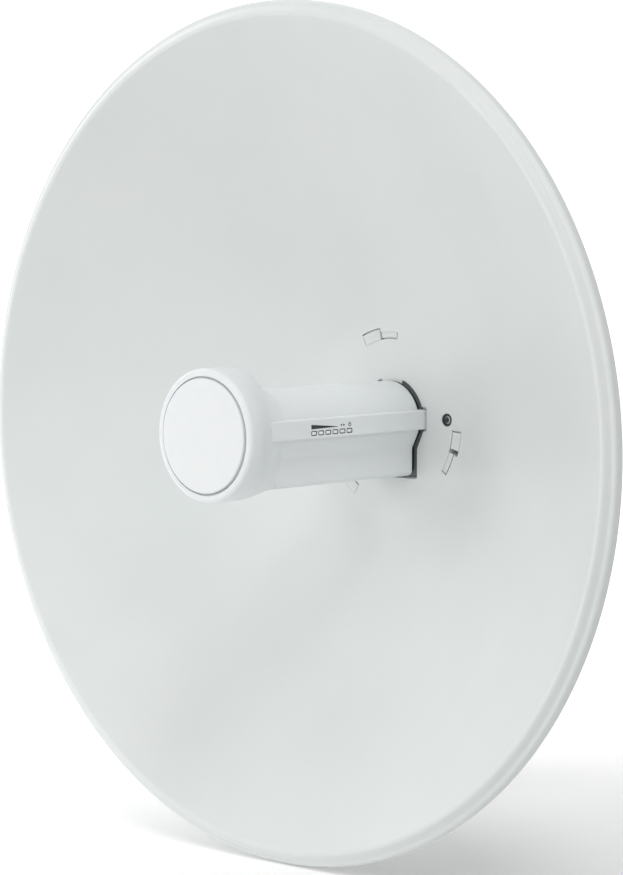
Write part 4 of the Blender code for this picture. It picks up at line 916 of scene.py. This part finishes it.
cross_hole(bracket, PIVOT)
low, high = -math.pi / 2 - LOCK_SPREAD / 2, -math.pi / 2 + LOCK_SPREAD / 2
near_end, far_end = around(LOCK_RADIUS, low, high, 1, PIVOT)
curved = around(LOCK_RADIUS + BOLT_HOLE, low, high, 12, PIVOT)
curved += around(BOLT_HOLE, high, high + math.pi, 8, far_end)[1:-1]
curved += around(LOCK_RADIUS - BOLT_HOLE, high, low, 12, PIVOT)
curved += around(BOLT_HOLE, low + math.pi, low + 2 * math.pi, 8, near_end)[1:-1]
shape(bracket, crosswise("lock_slot", curved, -REACH, 2 * REACH))
for x, z in FLANGE_BOLTS:
    bored(bracket, FLANGE_BOLT_HOLE, -0.05, -0.03, (x, 0, z), steps=24)
smooth(bracket, 0.0003, 2, 50)

# Hot dip galvanised steel: dull silver grey with a spangle of zinc crystals about 8 mm across, each
# with its own shade and gloss, and a slightly uneven skin
galvanised = surface("hot_dip_galvanised_steel", "#A9AFB2", 0.4, Metallic=1.0)
spot = add(galvanised, "TexCoord", {}).outputs["Object"]
spangle = add(galvanised, "TexVoronoi", {"Vector": spot, "Scale": 1 / 0.008, "Randomness": 1.0})
crystal = add(galvanised, "SeparateColor", {"Color": spangle.outputs["Color"]})
add(galvanised, "ValToRGB", {"Fac": crystal.outputs["Red"]}, "Base Color", [(0, "#989EA2"), (1, "#B9BEC0")])
add(galvanised, "MapRange", {"Value": crystal.outputs["Green"], "To Min": 0.34, "To Max": 0.52}, "Roughness")
skin = add(galvanised, "TexNoise", {"Vector": spot, "Scale": 1 / 0.0025, "Detail": 3.0})
add(galvanised, "Bump", {"Height": skin, "Strength": 0.15, "Distance": 0.0003}, "Normal")
dress(bracket, galvanised, "zinc_steel", "tilt_bracket")


# Pole bracket
# A galvanised plate with a pressed pad that bears on the pole, and two cheeks welded on in front that
# take the tilt bracket's ears between them. Its wings are notched and drilled for the clamp bolts.
WING_X, WING_Z = 0.0450, 0.0580
WING_FRONT, WING_BACK = -0.0080, -0.0050
PAD_X, PAD_Z = 0.0250, 0.0520
CHEEK_X = 0.0298
CHEEK_FRONT = -0.0345
CHEEK_HALF_HEIGHT = 0.0320
CHEEK_ROUNDING = 0.0080
NOTCH_HALF_HEIGHT, NOTCH_DEPTH, NOTCH_ROUNDING = 0.0260, 0.0065, 0.0040
CLAMP_BOLTS = [(-0.035, 0.042), (0.035, 0.042), (-0.035, -0.042), (0.035, -0.042)]
plate = prism("pole_bracket_visual", flat_at(WING_FRONT, rounded((0, 0), (2 * WING_X, 2 * WING_Z), 0.006, 6)),
              (0, WING_BACK - WING_FRONT, 0))


def pressed(name, steps_of_pad, radius):
    """A pad's outside or inside: rounded rectangles at these places, each smaller by a rounding."""
    stations = []
    for y, grow in steps_of_pad:
        size = (2 * (PAD_X + grow), 2 * (PAD_Z + grow))
        stations.append(flat_at(y, rounded((0, 0), size, radius + grow, 6)))
    return rings(name, stations)


PAD = [(-0.0065, 0.0022), (-0.0050, 0.0014), (-0.0036, 0.0004), (-0.0018, 0.0), (-0.0008, -0.0003),
       (-0.0002, -0.0009), (0.0, -0.0018)]
PAD_INSIDE = [(-0.0130, -0.0012), (-0.0080, -0.0014), (-0.0062, -0.0024), (-0.0044, -0.0030),
              (-0.0034, -0.0036), (-0.0030, -0.0046)]
shape(plate, pressed("pad", PAD, 0.004), "UNION")
shape(plate, pressed("pad_inside", PAD_INSIDE, 0.006))
for side_sign in (-1, 1):
    corner = (CHEEK_FRONT + CHEEK_ROUNDING, CHEEK_HALF_HEIGHT - CHEEK_ROUNDING)
    cheek = [(WING_FRONT + 0.001, CHEEK_HALF_HEIGHT)]
    cheek += around(CHEEK_ROUNDING, math.pi / 2, math.pi, 6, corner)
    cheek += [(y, -z) for y, z in reversed(cheek)]
    start = CHEEK_X if side_sign > 0 else -CHEEK_X - PLATE
    shape(plate, crosswise("cheek", cheek, start, PLATE), "UNION")
    notch = rounded((side_sign * (WING_X + NOTCH_ROUNDING), 0),
                    (2 * (NOTCH_ROUNDING + NOTCH_DEPTH), 2 * NOTCH_HALF_HEIGHT), NOTCH_ROUNDING, 6)
    punched(plate, notch, WING_FRONT - 0.01, 0.02)
cross_hole(plate, PIVOT)
cross_hole(plate, (PIVOT[0], PIVOT[1] - LOCK_RADIUS))
for x, z in CLAMP_BOLTS:
    bored(plate, BOLT_HOLE, -0.02, 0.01, (x, 0, z))
smooth(plate, 0.0003, 2, 50)
dress(plate, galvanised, "zinc_steel", "pole_bracket")

# Weld beads between the cheeks and the wings
BEAD, BEAD_LENGTH, BEAD_RIPPLE = 0.0017, 0.014, 0.0012
for number, (side_sign, z) in enumerate([(s, z) for s in (-1, 1) for z in (-0.022, 0.0, 0.022)], 1):
    stations = []
    for k in range(25):
        share = k / 24
        swell = BEAD * (0.35 + 0.65 * min(1, 6 * share, 6 * (1 - share)))
        swell *= 1 + 0.10 * math.cos(2 * math.pi * share * BEAD_LENGTH / BEAD_RIPPLE)
        centre = (side_sign * (CHEEK_X + PLATE), WING_FRONT)
        stations.append([(x, y, z + BEAD_LENGTH * (share - 0.5))
                         for x, y in around(swell, 0, math.radians(330), 11, centre)])
    bead = rings(f"cheek_weld_{number}", stations)
    smooth(bead, 0, angle=80)
    dress(bead, galvanised, "zinc_steel")


# Tilt bolts
# Two M8 hexagon bolts go through the cheeks and ears with their nuts, a tube between the ears keeps
# them apart, and four M6 bolts with washer faces hold the bracket on the housing. All zinc plated.
M8, M6 = 0.0040, 0.0030
THREAD_DEPTH_SHARE = 0.14
HEX_CHAMFER = 0.0009
BOLT_SEAT = 0.0331
M8_HEX, M8_FACE, M8_HEAD, M8_NUT, M8_END = 0.0074, 0.0064, 0.0053, 0.0068, 0.0426
M6_HEX, M6_HEAD, M6_WASHER, M6_WASHER_THICKNESS = 0.0055, 0.0050, 0.0065, 0.0012
M8_PITCH, M6_PITCH = 0.00125, 0.0010
SPACER_BORE, SPACER_RADIUS = 0.0042, 0.0065


def thread(radius, pitch, start, end):
    """A bolt's side from start to end as a line of ridges."""
    count = max(1, int(abs(end - start) / pitch))
    step = (end - start) / count
    root = radius * (1 - THREAD_DEPTH_SHARE)
    side_line = []
    for k in range(count):
        side_line.append((root, start + step * k))
        side_line += [(radius, start + step * (k + share)) for share in (0.35, 0.55)]
    return side_line + [(root, end)]


def hexagon(name, radius, start, end, at, along, chamfer_start=False):
    """A hexagon bar along an axis, with its corners turned off at its far end, or at both."""
    along = Vector(along)
    six = around(radius, 0, math.radians(300), 5, (at[1] if along.x else at[0], at[2]))
    points = [(start, a, b) if along.x else (a, start, b) for a, b in six]
    bar = prism(name, points, along * (end - start))
    way = 1 if end > start else -1
    flat = radius * math.cos(math.pi / 6) - 0.0002
    blunt = [(radius * 1.1, start - way * 0.001)]
    if chamfer_start:
        blunt = [(flat, start - way * 0.0001), (radius, start + way * HEX_CHAMFER / 2)]
    blunt += [(radius * 1.001, end - way * HEX_CHAMFER), (flat, end + way * 0.0001)]
    shape(bar, lathe("chamfer_tool", blunt, 48, at, along), "INTERSECT")
    return bar


def finish_bolt(piece, node):
    smooth(piece, angle=30)
    dress(piece, bright_zinc, "zinc_steel", node)


def copy_of(piece, name, shift):
    """The same piece with its own mesh, moved."""
    made = piece.copy()
    made.data = piece.data.copy()
    made.name = made.data.name = name
    bpy.context.scene.collection.objects.link(made)
    made.data.transform(Matrix.Translation(shift))
    return made


def finish_set(first, name, places):
    """Copies the bolt or nut at the first (x, z) place to the others, and finishes them all."""
    family = [first]
    for number, (x, z) in enumerate(places[1:], 2):
        family.append(copy_of(first, f"{name}_{number}_visual", (x - places[0][0], 0, z - places[0][1])))
    for number, piece in enumerate(family, 1):
        finish_bolt(piece, f"{name}_{number}")


lock = (PIVOT[0], PIVOT[1] - LOCK_RADIUS)
for name, place in (("pivot", PIVOT), ("tilt_lock", lock)):
    at = (0, *place)
    bolt = hexagon(name + "_bolt_visual", M8_HEX, -BOLT_SEAT - 0.0004, -BOLT_SEAT - M8_HEAD, at, (1, 0, 0))
    shank = [(0, -BOLT_SEAT - 0.001), (M8_FACE, -BOLT_SEAT - 0.001), (M8_FACE, -BOLT_SEAT), (M8, -BOLT_SEAT)]
    shank += [(M8, 0.018)] + thread(M8, M8_PITCH, 0.0185, M8_END - 0.0008)
    shank += [(M8 * 0.75, M8_END), (0, M8_END)]
    shape(bolt, lathe("shank", shank, 24, at, (1, 0, 0)), "UNION")
    finish_bolt(bolt, name + "_bolt")
    nut = hexagon(name + "_nut_visual", M8_HEX, BOLT_SEAT, BOLT_SEAT + M8_NUT, at, (1, 0, 0), True)
    bored(nut, M8 + 0.0002, BOLT_SEAT - 0.01, BOLT_SEAT + 0.02, at, (1, 0, 0))
    finish_bolt(nut, name + "_nut")
inner_half = EAR_X - PLATE - 0.0003
tube_line = [(SPACER_BORE, -inner_half), (SPACER_RADIUS - 0.0003, -inner_half),
             (SPACER_RADIUS, 0.0004 - inner_half)]
tube_line += [(r, -x) for r, x in reversed(tube_line)]
spacer = lathe("pivot_spacer_visual", tube_line, 40, (0, *PIVOT), (1, 0, 0), closed=True)
finish_bolt(spacer, "pivot_spacer")

flange_seat = WEB_FRONT + PLATE + 0.0003
hex_start = flange_seat + M6_WASHER_THICKNESS
at = (FLANGE_BOLTS[0][0], 0, FLANGE_BOLTS[0][1])
flange_bolt = hexagon("tilt_bracket_bolt_1_visual", M6_HEX, hex_start - 0.0004, hex_start + M6_HEAD,
                      at, (0, 1, 0))
tip = HOUSING_BACK_Y - 0.0110
body = [(0, tip), (M6 * 0.75, tip)] + thread(M6, M6_PITCH, tip + 0.0006, HOUSING_BACK_Y)
body += [(M6, HOUSING_BACK_Y + 0.0002), (M6, flange_seat), (M6_WASHER - 0.0001, flange_seat)]
body += [(M6_WASHER, flange_seat + 0.0004), (M6_WASHER - 0.0004, hex_start - 0.0002)]
body += [(M6_HEX * 0.9, hex_start), (0, hex_start)]
shape(flange_bolt, lathe("shank", body, 32, at), "UNION")
finish_set(flange_bolt, "tilt_bracket_bolt", FLANGE_BOLTS)


# Pole clamps
# Two channels folded from 3 mm galvanised plate. Their flanges are notched with teeth that bite on
# the pole, and the four long bolts pull them towards the pole bracket.
CLAMP_X = 0.0450
CLAMP_WEB = 0.0640
CLAMP_HALF_HEIGHT = 0.0120
JAW_MOUTH, JAW_FLOOR = 0.0380, 0.0570
JAW_HALF, JAW_FLOOR_HALF = 0.0260, 0.0060
JAW_TEETH, TOOTH = 5, 0.0016
feet = [(-lerp(JAW_HALF, JAW_FLOOR_HALF, k / JAW_TEETH), lerp(JAW_MOUTH, JAW_FLOOR, k / JAW_TEETH))
        for k in range(JAW_TEETH + 1)]
teeth = []
for (x0, y0), (x1, y1) in zip(feet, feet[1:]):
    teeth += [(x0, y0), ((x0 + x1) / 2 - TOOTH, (y0 + y1) / 2 + TOOTH)]
teeth.append(feet[-1])
plan = [(-CLAMP_X, CLAMP_WEB + PLATE + 0.002), (-CLAMP_X, JAW_MOUTH + 0.010), (-CLAMP_X + 0.008, JAW_MOUTH)]
plan = both_sides(plan + teeth)
clamp_z = CLAMP_BOLTS[0][1]
web_back = CLAMP_WEB + PLATE
corner = (web_back - BEND_OUTER, clamp_z + CLAMP_HALF_HEIGHT - BEND_OUTER)
flange_end, flange_z = JAW_MOUTH - 0.002, clamp_z + CLAMP_HALF_HEIGHT
outer_line = [(flange_end, flange_z)] + around(BEND_OUTER, math.pi / 2, 0, 6, corner)
inner_line = around(BEND_INNER, 0, math.pi / 2, 4, corner) + [(flange_end, flange_z - PLATE)]
channel = outer_line + [(y, 2 * clamp_z - z) for y, z in reversed(outer_line)]
channel += [(y, 2 * clamp_z - z) for y, z in reversed(inner_line)] + inner_line
clamp = crosswise("upper_pole_clamp_visual", channel, -REACH, 2 * REACH)
shape(clamp, prism("plan_cut", [(x, y, clamp_z - 0.03) for x, y in plan], (0, 0, 0.06)), "INTERSECT")
for x, z in CLAMP_BOLTS[:2]:
    bored(clamp, BOLT_HOLE, CLAMP_WEB - 0.003, CLAMP_WEB + 0.01, (x, 0, z), (0, 1, 0))
smooth(clamp, 0.0003, 2, 50)
lower = copy_of(clamp, "lower_pole_clamp_visual", (0, 0, -2 * clamp_z))
dress(clamp, galvanised, "zinc_steel", "upper_pole_clamp")
dress(lower, galvanised, "zinc_steel", "lower_pole_clamp")


# Clamp bolts and nuts
# Four M8 carriage bolts with domed heads in front of the wings, threaded along their far half, and
# flange nuts behind the clamps. All zinc plated.
DOME_RADIUS, DOME_HEIGHT, DOME_EDGE = 0.0085, 0.0045, 0.0006
CLAMP_BOLT_END = 0.0790
FLANGE_RADIUS, FLANGE_THICKNESS, FLANGE_NUT_HEIGHT = 0.0088, 0.0014, 0.0078
head_back = WING_FRONT - 0.0003
dome = [(DOME_RADIUS * math.sin(t), head_back - DOME_EDGE - (DOME_HEIGHT - DOME_EDGE) * math.cos(t))
        for t in (math.radians(10 * k) for k in range(10))]
dome = [(0, dome[0][1])] + dome[1:] + [(DOME_RADIUS, head_back), (M8, head_back), (M8, 0.0340)]
dome += thread(M8, M8_PITCH, 0.0345, CLAMP_BOLT_END - 0.0008)
dome += [(M8 * 0.75, CLAMP_BOLT_END), (0, CLAMP_BOLT_END)]
at = (CLAMP_BOLTS[0][0], 0, CLAMP_BOLTS[0][1])
clamp_bolt = lathe("clamp_bolt_1_visual", dome, 32, at)
seat = CLAMP_WEB + PLATE + 0.0003
flange_top = seat + FLANGE_THICKNESS
clamp_nut = hexagon("clamp_nut_1_visual", M8_HEX, flange_top - 0.0006, seat + FLANGE_NUT_HEIGHT,
                    at, (0, 1, 0))
flange = [(0, seat), (FLANGE_RADIUS - 0.0002, seat), (FLANGE_RADIUS, seat + 0.0004)]
flange += [(FLANGE_RADIUS - 0.0003, seat + 0.0009), (M8_HEX * 0.93, flange_top + 0.0004)]
flange.append((0, flange_top + 0.0004))
shape(clamp_nut, lathe("flange", flange, 48, at), "UNION")
bored(clamp_nut, M8 + 0.0002, seat - 0.01, seat + 0.02, at, (0, 1, 0))
finish_set(clamp_bolt, "clamp_bolt", CLAMP_BOLTS)
finish_set(clamp_nut, "clamp_nut", CLAMP_BOLTS)
